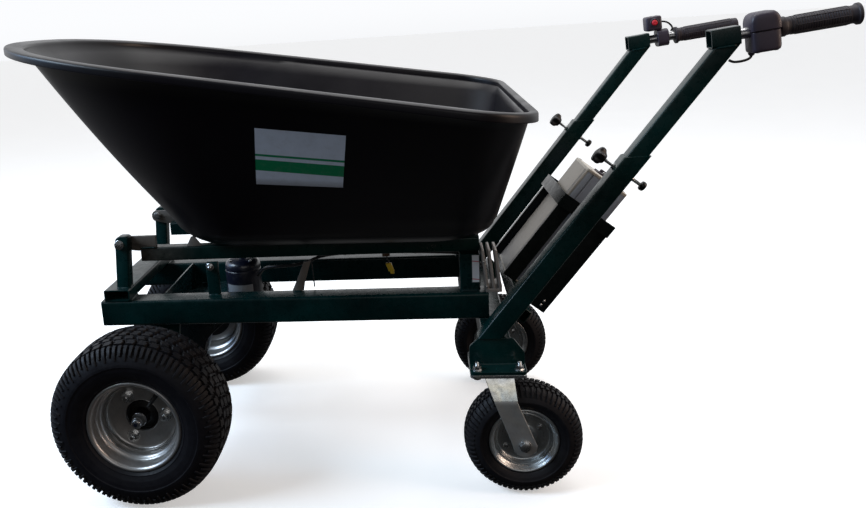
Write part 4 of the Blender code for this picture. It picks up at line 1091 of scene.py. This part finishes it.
# gearmotor: can, end bell, flange and a blank silver plate
can = [turned(rounded([(345.2, 43), (350, 46.0), (388, 46.0), (389, 45.2), (391, 45.2), (392, 46.0), (452, 46.0), (453, 45.0), (455.5, 45.0), (456.5, 45.8), (466, 45.4), (474, 41.5), (479.5, 33), (480.8, 20), (481, 3)],
                      [1, 2, .4, .4, .4, .4, .6, .4, .4, .6, 4, 4, 3, 2, 0], 3, closed=False), 64, about_z(192, 0))]
for k in range(4):
    a = rad(45 + 90 * k)
    can.append((bolt((192 + 36 * cos(a), 36 * sin(a), 477.0), (0, 0, 1), 7, 3.4, 0, 0.2, 0), 1))
can.append((turned([(480.5, 9), (484, 8.6), (486.5, 7.0), (487, 1)], 24, about_z(192, 0)), 2))
make("gearmotor_can", join(*can), [MOTOR, BRIGHT, CABLE], "chassis", cad="motor_can", smooth=35)
arc = []
for lay, r in ((0, 46.15), (1, 46.55)):
    arc.append([[(192 + r * sin(rad(-52 + 92 * i / 24)), -r * cos(rad(-52 + 92 * i / 24)), z) for i in range(25)] for z in (393.0, 400, 410, 419.5)])
bm = bmesh.new()
vs = [[[bm.verts.new(p) for p in row] for row in lay] for lay in arc]
for g in vs:
    for v in range(3):
        for u in range(24):
            bm.faces.new((g[v][u], g[v][u + 1], g[v + 1][u + 1], g[v + 1][u]))
edge = [(0, u) for u in range(24)] + [(v, 24) for v in range(3)] + [(3, u) for u in range(24, 0, -1)] + [(v, 0) for v in range(3, 0, -1)]
for i, (v, u) in enumerate(edge):
    v2, u2 = edge[(i + 1) % len(edge)]
    bm.faces.new((vs[0][v][u], vs[0][v2][u2], vs[1][v2][u2], vs[1][v][u]))
make("motor_plate", bm, PLATE, "chassis", smooth=50)

case = rounded([(-4, 368.6), (-4, 300), (-52, 250), (-60, 203), (-40, 158), (0, 143), (44, 160), (62, 206), (78, 262), (146, 318), (246, 318),
                (246, 344.6), (64, 344.6), (58, 368.6)], [2, 14, 20, 30, 30, 30, 30, 30, 20, 16, 5, 3, 4, 3], 5)
gear = [prism(case, -8, 66, edge=3.0)]
seam = [Vector((p.x * 1.0 + (p.x - 40) * 0.018, p.y + (p.y - 260) * 0.018)) for p in case]
gear.append(prism(seam, 27.0, 31.0, edge=0.8))
for x, z in ((-30, 240), (-44, 196), (-10, 156), (42, 178), (60, 232), (10, 330), (120, 330), (200, 330), (232, 330)):
    gear.append((bolt((x, -8.0, z), (0, -1, 0), 8, 4.5, 0, x * 0.1, 0), 1))
    gear.append((bolt((x, 66.0, z), (0, 1, 0), 8, 4.5, 0, x * 0.1, 0), 1))
for s2, y in ((-1, -8), (1, 66)):
    gear.append(turned(rounded([(0, 34), (6, 32), (7, 27), (7, 13.4), (0, 13.4)], [0.5, 2, 2, 1, 0.5], 3), 40, about((0, y, 203), (0, s2, 0)), closed=True))
make("gear_housing", join(*gear), [BLACK, BRIGHT], "chassis", cad="gearcase", smooth=32)

# motor controller: cooling plates on a foot, leaning towards the tub
lean = Vector((-0.11, 0.994))
foot_a = Vector((799, 433))
outline, rad_list = [Vector((799, 432.5))], [0.5]
for k in range(3):
    left = foot_a + Vector((k * 14.5, 8))
    outline += [left, left + lean * 92, left + lean * 92 + Vector((7, 0)), left + Vector((7, 0))]
    rad_list += [0.8, 2.2, 2.2, 2.0]
outline.append(Vector((799 + 36, 432.5)))
rad_list.append(0.5)
ctl = [prism(rounded(outline, rad_list, 4), -184, -112, edge=0.7)]
for z in (446.0, 505.0):
    ctl.append((bolt((foot_a.x + 2.5 - (z - 441) * 0.11, -184.0, z), (0, -1, 0), 4.6, 2.0, 0, 0.3, 0), 1))
make("speed_controller", join(*ctl), [FINS, BRIGHT], "chassis", cad="controller", smooth=32)
LABEL = vinyl("plain_label_vinyl", (0.70, 0.70, 0.72), (0.45, 0.02, 0.03), [(0.4785, 0.4805), (0.5215, 0.5235)])
make("plain_label", slab(769.5, 785.5, -165.95, -165.35, 452, 517, 0.15, 0, seg=1), LABEL, "chassis", smooth=30)

# cable loom under the tub
loom_pts = [(236, -28, 440), (262, -60, 470), (300, -88, 480), (362, -94, 486), (425, -96, 511), (560, -96, 512),
            (700, -98, 508), (750, -98, 503), (780, -97, 485), (795, -99, 474), (797, -108, 470)]
cut = [Vector(loom_pts[0])]
for i in range(len(loom_pts) - 1):
    a, b = Vector(loom_pts[i]), Vector(loom_pts[i + 1])
    if i > 0:
        cut.append(a.lerp(b, 0.25))
    if i < len(loom_pts) - 2:
        cut.append(a.lerp(b, 0.75))
cut.append(Vector(loom_pts[-1]))
loom = [sweep(catmull(cut, 5), lambda f: 3.9 + 0.12 * sin(f * 420), 12)]
for q, r in (((470, -96, 511.5), 5.2), ((640, -97, 510.5), 5.2), ((342, -92, 484), 5.2)):
    loom.append((turned([(-1.6, r - 0.6), (-1.2, r), (1.2, r), (1.6, r - 0.6)], 16, about(q, (1, 0, 0.02))), 0))
make("cable_loom", join(*loom), [CABLE], "chassis", cad="loom", smooth=50)
con = [(slab(-7, 7, -5, 5, -13, 8, 2.0, None, lambda x, y, z: Vector((577 + x + z * -0.35, -104 + y, 478 + z))), 0)]
con.append((slab(-4.5, 4.5, -3.5, 3.5, -19, -13, 1.0, None, lambda x, y, z: Vector((577 + x + z * -0.35, -104 + y, 478 + z))), 0))
con.append((turned(rounded([(-9, 5.2), (-8, 6.6), (8, 6.6), (9, 5.2)], 1.0, 3, closed=False), 18, about((569, -97, 507), (1, 0, 0.1))), 1))
con.append((sweep(catmull([(571, -98, 503), (572, -101, 496), (575, -104, 489), (575, -104, 484)], 4), 1.7, 10), 2))
make("loom_connector", join(*con), [YELLOW, BROWN, CABLE], "chassis", smooth=40)

# ------------------------------------------------------------------ caster mounts
for side, word in ((-1, "left"), (1, "right")):
    cy = side * 289.0

    def plate(z0, z1, r, edge, c=cy):
        pts = rounded([(752, c - 60), (872, c - 60), (872, c + 60), (752, c + 60)], r, 6)
        return skin([[(p.x, p.y, z) for p in pts] if i in (1, 2) else [(812 + (p.x - 812) * (1 - edge / 60), c + (p.y - c) * (1 - edge / 60), z) for p in pts]
                     for i, z in enumerate((z0, z0 + edge, z1 - edge, z1))])
    g0, g1 = side * 300.3, side * 306.3
    gus = rounded([(753, 308.2), (753, 351), (771, 368.4), (847, 368.4), (871, 336), (871, 308.2)], [0.5, 5, 5, 5, 5, 0.5], 4)
    parts = [plate(300.6, 308.3, 11, 0.9), prism(gus, g0, g1, edge=0.8), bead((757, g1 + side * 0.4, 308.6), (867, g1 + side * 0.4, 308.6), 2.0, 51 + side)]
    make("caster_mount_plate_" + word, join(*parts), GREEN, "chassis", cad="caster_mount_" + word, smooth=32)
    zp = [plate(293.0, 300.3, 9, 0.9)]
    for dx in (-45, 45):
        for dy in (-46, 46):
            q = (812 + dx, cy + dy, 308.4)
            zp.append((bolt(q, (0, 0, 1), 15, 8, 10.5, dx * 0.02 + dy * 0.01, 9.0), 1))
            zp.append((bolt((q[0], q[1], 292.9), (0, 0, -1), 15, 6, 0, dx * 0.03, 0), 1))
    make("caster_top_plate_" + word, join(*zp), [ZINC, BRIGHT], "chassis", cad="caster_plate_" + word, smooth=32)

# ------------------------------------------------------------------ tipping subframe
for side, word in ((-1, "left"), (1, "right")):
    yc = side * 124.0
    make("tip_rail_" + word, box_tube((-26, yc, 536), (788, yc, 536), (0, 1, 0), (0, 0, 1), 34, 34, 2.5, 4.5), GREEN_RAIL if side < 0 else GREEN, "tub",
         cad="subframe_rail_" + word)
    arm = rounded([(-82, 556), (-84, 574), (-76, 583.6), (16, 583.6), (16, 553.4), (-26.4, 553.4), (-26.4, 546), (-46, 548)], [8, 9, 7, 3, 0.5, 0.5, 2, 6], 4)
    y0, y1 = sorted((side * 133.6, side * 141.4))
    parts = [prism(arm, y0, y1, edge=1.0)]
    pl = about((-66, side * 172.4, 571), (0, side, 0), 0.3)
    parts.append((washer(pl, 0.0, 1.8, 11.5), 1))
    parts.append((hex_head(pl, 1.7, 8.4, 18.0), 1))
    parts.append((turned([(0, 6.0), (52, 6.0)], 24, about((-66, side * 124, 571), (0, side, 0))), 1))
    inn = about((-66, side * 133.4, 571), (0, -side, 0), 0.1)
    parts.append((hex_head(inn, 0.0, 8.0, 17.0), 1))
    make("tip_arm_" + word, join(*parts), [WORN, BRIGHT], "tub", cad="pivot_arm_" + word, smooth=32)
make("tip_cross_tube", box_tube((752, -106.7, 536), (752, 106.7, 536), (1, 0, 0), (0, 0, 1), 34, 30, 2.5, 4), GREEN, "tub", cad="subframe_cross")
extra = []
for side in (-1, 1):
    gus = rounded([(90, 553.2), (128, 553.2), (126, 559), (112, 578), (104, 578)], [0.5, 1, 3, 3, 3], 3)
    extra.append((prism(gus, side * 137.0, side * 140.6, edge=0.6), 1))
    extra.append(bead((-24, side * 141.4, 553.2), (14, side * 141.4, 553.2), 2.0, 61))
    for x in (735.0, 769.0):
        extra.append(bead((x, side * 106.9, 523), (x, side * 106.9, 549), 1.9, x))
make("tip_frame_details", join(*extra), [GREEN_WORN, WORN], "tub", smooth=45)


# ------------------------------------------------------------------ handles
TUBE = 35.2
for side, word in ((-1, "left"), (1, "right")):
    drop = DROP if side > 0 else 0.0
    body = "handle_" + word

    def sleeve_ring(sec, bottom, cut=0.0, side=side):
        ring = []
        for p in sec:
            level = 369.0 if bottom else H_Z + 509.0 * HU.y - 21.0 * HN.y
            s = (level - H_Z - p.x * HN.y) / HU.y + (cut if bottom else -cut)
            ring.append(hp(s, p.x, p.y, side))
        return ring
    so, sm, si = section(42, 42, 5.0, 5), section(41.2, 41.2, 5.0, 5), section(36, 36, 2.2, 5)
    make("lower_tube_" + word, skin([sleeve_ring(sm, True), sleeve_ring(so, True, 0.4), sleeve_ring(so, False, 0.4), sleeve_ring(sm, False),
                                     sleeve_ring(si, False), sleeve_ring(si, True)], closed=True), GREEN, "chassis", cad="sleeve_" + word)

    def tube_ring(sec, top, cut=0.0, side=side, drop=drop):
        ring = []
        for p in sec:
            if top:
                p0 = Vector((BAR_X, BAR_Z)) + BN * (-TUBE / 2 - 0.3)
                base = Vector((H_X, H_Z)) + HN * p.x
                s = (p0 - base).dot(BN) / HU.dot(BN) - cut
            else:
                s = 190.0 + cut
            ring.append(hp(s, p.x, p.y, side, drop))
        return ring
    to, tm, ti = section(TUBE, TUBE, 4.0, 5), section(TUBE - 0.8, TUBE - 0.8, 4.0, 5), section(TUBE - 5.2, TUBE - 5.2, 1.8, 5)
    make("upper_tube_" + word, skin([tube_ring(tm, False), tube_ring(to, False, 0.4), tube_ring(to, True), tube_ring(ti, True), tube_ring(ti, False)],
                                    closed=True), GREEN, body, cad="handle_tube_" + word)

    # level stub tube with the round bar in it
    def ring_at(t, sec, side=side, drop=drop):
        return [bp(t, p.x, p.y, side, drop) for p in sec]
    n = 40
    circ = [Vector((BAR_R * cos(2 * pi * k / n), BAR_R * sin(2 * pi * k / n))) for k in range(n)]
    bar = [turned([(-120, BAR_R - 0.5), (126.5, BAR_R), (127.6, BAR_R - 0.8), (128, BAR_R - 2)], 40, lambda t, a, b, side=side, drop=drop: bp(t, a, b, side, drop))]
    stub = skin([ring_at(-139, tm), ring_at(-138.6, to), ring_at(-85.5, to), ring_at(-85.1, tm), ring_at(-85.1, section(24, 24, 10, 5)),
                 ring_at(-129, section(24, 24, 10, 5)), ring_at(-129, ti), ring_at(-139, ti)], closed=True)
    bar.append((stub, 1))
    # weld where the inclined tube meets the stub
    zc = -TUBE / 2 - 0.6
    cor = []
    for sy in (-1, 1):
        cor.append([bp(t, zc, sy * (TUBE / 2 + 0.2), side, drop) for t in (-133, -95)])
    for a, b in cor:
        bar.append((bead(a, b, 2.4, side * 3.0), 2))
    bar.append((bead(bp(-135, zc, -15, side, drop), bp(-135, zc, 15, side, drop), 2.4, 71), 2))
    bar.append((bead(bp(-91, zc, -15, side, drop), bp(-91, zc, 15, side, drop), 2.4, 73), 2))
    make("handle_head_" + word, join(*bar), [STEEL, GREEN, BEAD], body, cad="handle_bar_" + word, smooth=34)

    # star knob on the tub side
    def across(t, a, b, side=side):
        return hp(450 + a, t, b, side)
    m = 60
    rings = []
    for t, r, lobe in ((45.6, 9.5, 0), (46.4, 10.2, 0), (50, 12.3, 0.16), (53, 15.4, 0.34), (56, 16.6, 0.40), (61, 17.0, 0.40), (64.5, 16.2, 0.38), (67, 13.8, 0.26), (68.6, 9.6, 0.08), (68.9, 4, 0)):
        rings.append([across(t, r * (1 - lobe * (0.5 - 0.5 * cos(5 * 2 * pi * k / m)) ** 0.8 + lobe * 0.35) * cos(2 * pi * k / m),
                             r * (1 - lobe * (0.5 - 0.5 * cos(5 * 2 * pi * k / m)) ** 0.8 + lobe * 0.35) * sin(2 * pi * k / m)) for k in range(m)])
    knob = [skin(rings), (threads(across, 21.4, 45.9, 3.9, 1.4), 1), (hex_head(across, 21.3, 25.6, 12.0, turn=0.4), 1)]
    make("star_knob_" + word, join(*knob), [KNOB, BRIGHT], "knob_" + word, cad="clamp_knob_" + word, smooth=45)
    screw = [(threads(across, -21.4, -46.4, 3.9, 1.4), 1), (hex_head(across, -21.3, -25.4, 12.0, turn=0.2), 1),
             turned(rounded([(-45.8, 5.0), (-46.6, 9.3), (-50, 10.2), (-54.6, 9.6), (-56.6, 7.0), (-57, 2.0)], [0, 1, 2, 1.5, 1, 0], 3, closed=False), 36, across)]
    make("clamp_screw_head_" + word, join(*screw), [BLACK, BRIGHT], "screw_" + word, cad="clamp_screw_" + word, smooth=38)

# throttle housing: two halves with a parting groove, screws and a short snout for the cable
def ring_block(t, up, down, wide, r, n=9, side=-1, drop=0.0, sink=0.0):
    sec = rounded([(-down, -wide), (up, -wide), (up, wide), (-down, wide)], r, n)
    return [bp(t, p.x, p.y, side, drop) for p in sec]


hs = []
ends = [(-68, 11, 4.0, 2.0), (-66.6, 7.5, 2.0, 0.8), (-63.5, 3.6, 0.7, 0.1), (-58, 0.9, 0.1, 0), (-52, 0, 0, 0), (-40, 0, 0, 0), (-29, 0, 0, 0), (-24, 0.9, 0.1, 0),
        (-19, 4.4, 0.9, 0.3), (-15.6, 8.6, 2.6, 1.6), (-13.4, 12.5, 5.0, 4.0)]
for lo, hi in ((0.9, 36.0), (-40.0, -0.9)):
    rr_ = []
    for t, du, ds, dd in ends:
        top_half = hi > 1
        a, b = (lo, hi - du) if top_half else (lo + dd, hi)
        w = 26.5 - ds - (0.0 if top_half else 1.5)
        rs = [1.6, 13.0, 13.0, 1.6] if top_half else [7.0, 1.6, 1.6, 7.0]
        sec = rounded([(a, -w), (b, -w), (b, w), (a, w)], rs, 6)
        rr_.append([bp(t if top_half else -40.5 + (t + 40.5) * 0.94, p.x, p.y) for p in sec])
    hs.append(skin(rr_))
hs.append((turned([(-65.0, 24.0), (-15.0, 24.0)], 4, lambda t, a, b: bp(t, (a + b) * 0.62 - 1, (a - b) * 0.62)), 0))
for t in (-57, -24):
    for y in (-17, 17):
        hs.append((turned(rounded([(-40.4, 3.4), (-39.4, 4.2), (-33, 4.2)], 0.4, 2, closed=False), 16, lambda a_, b_, c_, t=t, y=y: bp(t + b_, a_, y + c_)), 1))
hs.append(turned(rounded([(-38.8, 6.5), (-41.2, 6.2), (-44.0, 4.6), (-45.0, 3.4)], 0.8, 3, closed=False), 20, lambda t, a, b: bp(-63 + a, t, b)))
make("throttle_case", join(*hs), [PLASTIC, BRIGHT], "handle_left", cad="throttle_housing", smooth=36)


def grip(name, cad, body, side, drop, t0, t1, rings_, ribs0, ribs1, r, end):
    prof = list(rings_)
    n = int((ribs1 - ribs0) / 4.6)
    for k in range(n):
        a = ribs0 + k * 4.6
        prof += [(a, r - 0.9), (a + 0.7, r), (a + 3.2, r), (a + 3.9, r - 0.9)]
    prof += end
    prof = prof + [(t1, BAR_R + 0.5), (t0, BAR_R + 0.5)]
    place = lambda t, a, b: bp(t, a, b, side, drop)
    parts = [turned(prof, 56, place, closed=True)]
    # raised palm panels between the ribs
    for k in range(8):
        a = 2 * pi * k / 8
        parts.append(sweep([place(t, (r - 0.25) * cos(a), (r - 0.25) * sin(a)) for t in (ribs0 + 8, (ribs0 + ribs1) / 2, ribs1 - 8)], 1.1, 8))
    make(name, join(*parts), GRIP, body, cad=cad, smooth=34)


grip("twist_grip", "throttle_grip", "throttle", -1, 0.0, -12.4, 132, [(-12.4, 18.0), (-11.8, 19.2), (-2.5, 19.2), (-1.2, 18.4), (0.5, 17.3), (5, 17.2)], 8, 118, 17.6,
     [(121, 17.2), (124.5, 18.2), (126.0, 20.4), (130.8, 20.6), (132, 19.6)])
grip("rear_grip", "hand_grip", "handle_right", 1, DROP, -20, 133, [(-20, 19.8), (-19, 21.2), (-14, 21.2), (-12.6, 20), (-11.6, 17.8), (-7, 17.3)], -4, 126, 17.6,
     [(128, 17.4), (131.6, 17.0), (133, 15.6)])

cable_pts = [bp(-63, -40.8, 0), bp(-64, -46, 0), bp(-70, -50.4, 0), bp(-82, -52.2, 0), bp(-96, -51.2, 0), bp(-105, -46.4, 0)]
make("throttle_lead", sweep(catmull(cable_pts, 6), 2.5, 14), CABLE, "handle_left", cad="throttle_cable", smooth=60)

# switch pod, its clamp ring and button
pod = []
sec_o = rounded([(-21, -22), (22, -22), (22, 22), (-21, 22)], 15, 8)
cyl = [Vector(((BAR_R + 0.4) * cos(2 * pi * k / len(sec_o) + 3.92), (BAR_R + 0.4) * sin(2 * pi * k / len(sec_o) + 3.92))) for k in range(len(sec_o))]
r1 = lambda t, sec, g=0.0: [bp(t, p.x * (1 - g / 22), p.y * (1 - g / 22), 1, DROP) for p in sec]
pod.append(skin([r1(-65, sec_o, 1.2), r1(-64, sec_o), r1(-39, sec_o), r1(-38, sec_o, 1.2), r1(-38, cyl), r1(-65, cyl)], closed=True))
pod.append(slab(-91, -52, -20, 20, 21.5, 58, 5.5, None, lambda t, y, m: bp(t, m, y, 1, DROP), seg=4))
bez = turned(rounded([(-19.2, 11.6), (-21.2, 11.2), (-22.6, 10.2), (-22.8, 8.6), (-19.2, 8.4)], [0.2, 0.6, 0.6, 0.4, 0.2], 3), 32,
             lambda t, a, b: bp(-71 + a, 42 + b, t, 1, DROP), closed=True)
pod.append(bez)
for y in (-12, 12):
    pod.append((turned([(57.6, 2.6), (58.4, 2.6), (58.8, 1.8)], 14, lambda a_, b_, c_, y=y: bp(-71 + b_, a_, y + c_, 1, DROP)), 1))
make("switch_housing", join(*pod), [PLASTIC, BRIGHT], "handle_right", cad="switch_pod", smooth=36)
btn = turned(rounded([(-11.5, 7.1), (-23.0, 7.1), (-24.6, 5.9), (-25.0, 3.2), (-24.6, 0.4)], [0.1, 1.0, 1.0, 0.8, 0], 3, closed=False), 36,
             lambda t, a, b: bp(-71 + a, 42 + b, t, 1, DROP))
make("push_button", btn, RED, "button", cad="red_button", smooth=40)
lead = catmull([bp(-52.5, 40, 4, 1, DROP), bp(-46, 40.5, 3, 1, DROP), bp(-36, 37, 0, 1, DROP), bp(-28, 29, -3, 1, DROP), bp(-25, 20, -6, 1, DROP), bp(-29, 13.2, -5, 1, DROP)], 6)
make("switch_lead", sweep(lead, 2.3, 12), CABLE, "handle_right", smooth=60)
make("head_stub", join(turned(rounded([(-17.2, 5.0), (-24, 5.0), (-27, 3.6), (-27.6, 1.0)], 0.8, 3, closed=False), 20, lambda t, a, b: bp(-118 + a, t, b, 1, DROP))),
     BLACK, "handle_right", smooth=40)

# ------------------------------------------------------------------ battery and cradle
def battery_ring(s, grow, grooves=True):
    half_w, m0, m1 = 80.0 + grow, -108.0 - grow, 3.0 + grow
    sec = rounded([(m0, -half_w), (m1, -half_w), (m1, half_w), (m0, half_w)], 8.0, 5)
    out = []
    # groove lines beside the edges
    pts = []
    for i, p in enumerate(sec):
        q = sec[(i + 1) % len(sec)]
        pts.append(p)
        if (q - p).length > 60:
            long_side = abs(q.x - p.x) > abs(q.y - p.y)
            marks = (0.10, 0.90) if long_side else (0.05, 0.115)
            for f in marks:
                c = p.lerp(q, f)
                t = (q - p).normalized()
                nrm = Vector((t.y, -t.x))
                depth_ = 1.6 if grooves else 0.0
                for da, dd in ((-2.0, 0.0), (-1.3, depth_), (1.3, depth_), (2.0, 0.0)):
                    pts.append(c + t * da - nrm * dd)
    for p in pts:
        out.append(mp(s, p.x, p.y))
    return out


bat = [skin([battery_ring(100.5, -0.6), battery_ring(101, -0.4), battery_ring(404, -0.4), battery_ring(404.5, -0.6)])]
for s0, s1 in ((96.0, 101.0), (404.0, 411.0)):
    rings = []
    outer_first = s0 < 200
    for s, g in ((s0, -1.8 if outer_first else -0.1), (s0 + 1.2, -0.5 if outer_first else 0.0), (s1 - 1.2, 0.0 if outer_first else -0.5), (s1, -0.1 if outer_first else -1.8)):
        half_w, m0, m1 = 80.0 + g, -108.0 - g, 3.0 + g
        rings.append([mp(s, p.x, p.y) for p in rounded([(m0, -half_w), (m1, -half_w), (m1, half_w), (m0, half_w)], 8.0, 6)])
    bat.append((skin(rings), 1))
top = lambda s, m, y: mp(411 + s, -52 + m, y)
for m in (-46, 46):
    for y in (-66, 66):
        bat.append((turned([(-0.5, 4.2), (0.8, 4.2), (1.6, 3.2), (1.8, 1)], 16, lambda t, a, b, m=m, y=y: top(t, m + a, y + b)), 2))
bat.append((slab(-1, 4.5, -22, 22, -17, 17, 2.0, None, lambda s, y, m: top(s, m, y)), 3))
bat.append((turned([(3.5, 7.5), (10, 7.2), (11.5, 6.0), (11.8, 2)], 24, lambda t, a, b: top(t, a, 8 + b)), 3))
bat.append((turned([(3.5, 4.5), (8, 4.3), (9.0, 3.2)], 20, lambda t, a, b: top(t, a, -11 + b)), 2))
make("battery_box", join(*bat), [ALU, ALU_TOP, BRIGHT, PLASTIC], "battery", cad="battery_case", smooth=32)


def along(outline, s0, s1, r=0.0):
    pts = rounded(outline, r, 3) if r else [Vector(p) for p in outline]
    return skin([[mp(s0, p.x, p.y) for p in pts], [mp(s1, p.x, p.y) for p in pts]])


NEAR, FAR, LOW = -88.8, 112.8, -130.0
tray = [along([(-84, NEAR + 4.3), (LOW, NEAR + 4.3), (LOW, FAR - 4.3), (-84, FAR - 4.3), (-84, FAR - 8.3), (LOW + 4, FAR - 8.3),
               (LOW + 4, NEAR + 8.3), (-84, NEAR + 8.3)], 71.3, 321, 1.4)]
for s in (84.0, 96.0):
    for y, d in ((NEAR + 4.3, -1), (FAR - 4.3, 1)):
        tray.append((rivet(mp(s, -112, y), (0, d, 0), 3.2, 1.8), 1))
make("battery_tray", join(*tray), [BLACK, BRIGHT], "chassis", cad="cradle_tray", smooth=32, bevel=0.5)
fr = [along([(11, NEAR), (LOW - 2, NEAR), (LOW - 2, NEAR + 4), (7, NEAR + 4), (20, FAR - 4), (LOW - 2, FAR - 4), (LOW - 2, FAR), (24, FAR)], 304, 335, 1.6)]
fr.append(along([(8.5, NEAR + 2.3), (-26, NEAR + 2.3), (-26, NEAR + 7.3), (8.5, NEAR + 7.3)], 95.4, 326, 1.2))
fr.append(along([(15, FAR + 5.7), (15, FAR - 7.3), (-26, FAR - 7.3), (-26, FAR - 2.3), (11, FAR - 2.3), (11, FAR + 5.7)], 95.4, 326, 1.2))
for y, d in ((NEAR, -1), (FAR, 1)):
    for s in (312, 326):
        fr.append((bolt(mp(s, -40, y), (0, d, 0), 8, 4, 5.5, 0.3, 0), 1))
make("battery_strap_frame", join(*fr), [BLACK, BRIGHT], "chassis", cad="cradle_frame", smooth=32)
cb = [box_tube(mp(80, -34, -267.7), mp(80, -34, 267.7), (HU.x, 0, HU.y), (HN.x, 0, HN.y), 30, 30, 2.5, 4)]
make("battery_cross_tube", join(*cb), GREEN, "chassis", cad="cradle_crossbar")


# ------------------------------------------------------------------ floor, light and camera
def aim(obj, target):
    obj.rotation_euler = (Vector(target) - obj.location).to_track_quat('-Z', 'Y').to_euler()


floor_bm = bmesh.new()
bmesh.ops.create_grid(floor_bm, x_segments=8, y_segments=8, size=40.0)
floor_mesh = bpy.data.meshes.new("floor")
floor_bm.to_mesh(floor_mesh)
floor_bm.free()
floor = bpy.data.objects.new("floor", floor_mesh)
floor.location = (0, 0, -0.0006)
bpy.context.scene.collection.objects.link(floor)
fp = Paint("pale_floor")
floor_mesh.materials.append(fp.set(colour=fp.mix(fp.span(fp.noise(3, 4), 0.3, 0.7), (0.80, 0.80, 0.80), (0.84, 0.84, 0.84)),
                                   rough=0.9, spec=0.1, normal=fp.bump(fp.noise(300, 2), 0.03, 0.001)))
fp.shader.inputs["Emission Color"].default_value = (1.0, 1.0, 1.0, 1.0)
fp.shader.inputs["Emission Strength"].default_value = 0.42
floor.visible_glossy = False
floor.visible_diffuse = False

world = bpy.data.worlds.new("studio")
bpy.context.scene.world = world
world.use_nodes = True
wt = world.node_tree
back = wt.nodes["Background"]
geo = wt.nodes.new("ShaderNodeTexCoord")
sep = wt.nodes.new("ShaderNodeSeparateXYZ")
wt.links.new(geo.outputs["Generated"], sep.inputs["Vector"])


def world_range(sock, a, b, lo, hi):
    n = wt.nodes.new("ShaderNodeMapRange")
    n.interpolation_type = 'SMOOTHSTEP'
    for key, v in (("From Min", a), ("From Max", b), ("To Min", lo), ("To Max", hi)):
        n.inputs[key].default_value = v
    wt.links.new(sock, n.inputs["Value"])
    return n.outputs["Result"]


# a white studio that is open and bright behind and above, and dim in front
depth = world_range(sep.outputs["Y"], -0.50, 0.45, 0.06, 1.0)
level = world_range(sep.outputs["Z"], -0.30, 0.02, 0.14, 1.0)
both = wt.nodes.new("ShaderNodeMath")
both.operation = 'MULTIPLY'
wt.links.new(depth, both.inputs[0])
wt.links.new(level, both.inputs[1])
wt.links.new(both.outputs["Value"], back.inputs["Strength"])
back.inputs["Color"].default_value = (0.97, 0.98, 1.0, 1.0)


def area(name, place, target, size, power, colour=(1, 1, 1), shape=None):
    data = bpy.data.lights.new(name, 'AREA')
    data.energy = power
    data.color = colour
    data.shape = 'RECTANGLE'
    data.size, data.size_y = size
    obj = bpy.data.objects.new(name, data)
    obj.location = place
    bpy.context.scene.collection.objects.link(obj)
    aim(obj, target)
    return obj


area("key_left", (-3.2, -1.2, 2.9), (-0.1, 0, 0.5), (2.2, 1.6), 140, (0.68, 0.84, 1.0))
area("window_left", (-4.3, -0.3, 2.1), (0.27, 0.2, 0.8), (3.0, 1.5), 45, (0.36, 0.60, 1.0))
area("top_soft", (0.3, 0.6, 4.2), (0, 0, 0.3), (3.4, 2.6), 82, (1.0, 0.99, 0.97))
area("front_fill", (0.9, -4.2, 1.9), (0.0, 0, 0.35), (2.6, 1.6), 13, (1.0, 0.98, 0.96))
area("rear_warm", (3.2, -1.0, 1.7), (0.2, 0, 0.5), (1.0, 1.8), 40, (1.0, 0.74, 0.58))

# the camera, solved from the machine's known lengths
cam_data = bpy.data.cameras.new("camera")
cam = bpy.data.objects.new("camera", cam_data)
bpy.context.scene.collection.objects.link(cam)
pitch, yaw, roll = rad(14.39), rad(7.87), rad(-3.94)
forward = Vector((-sin(yaw) * cos(pitch), cos(yaw) * cos(pitch), -sin(pitch)))
right = Vector((cos(yaw), sin(yaw), 0))
up = right.cross(forward)
rr, uu = right * cos(roll) + up * sin(roll), -right * sin(roll) + up * cos(roll)
rot = Matrix((rr, uu, -forward)).transposed().to_4x4()
cam.matrix_world = Matrix.Translation(((675.82 - X_SHIFT) / 1000, -2.02826, 1.06583)) @ rot
cam_data.sensor_width = 36.0
cam_data.lens = 832.14 * 36.0 / 866.0
cam_data.shift_x = (433 - 318.48) / 866
cam_data.shift_y = (232.49 - 254) / 866
cam_data.clip_end = 200
bpy.context.scene.camera = cam
bpy.context.scene.view_settings.view_transform = 'Standard'

bpy.context.view_layer.update()
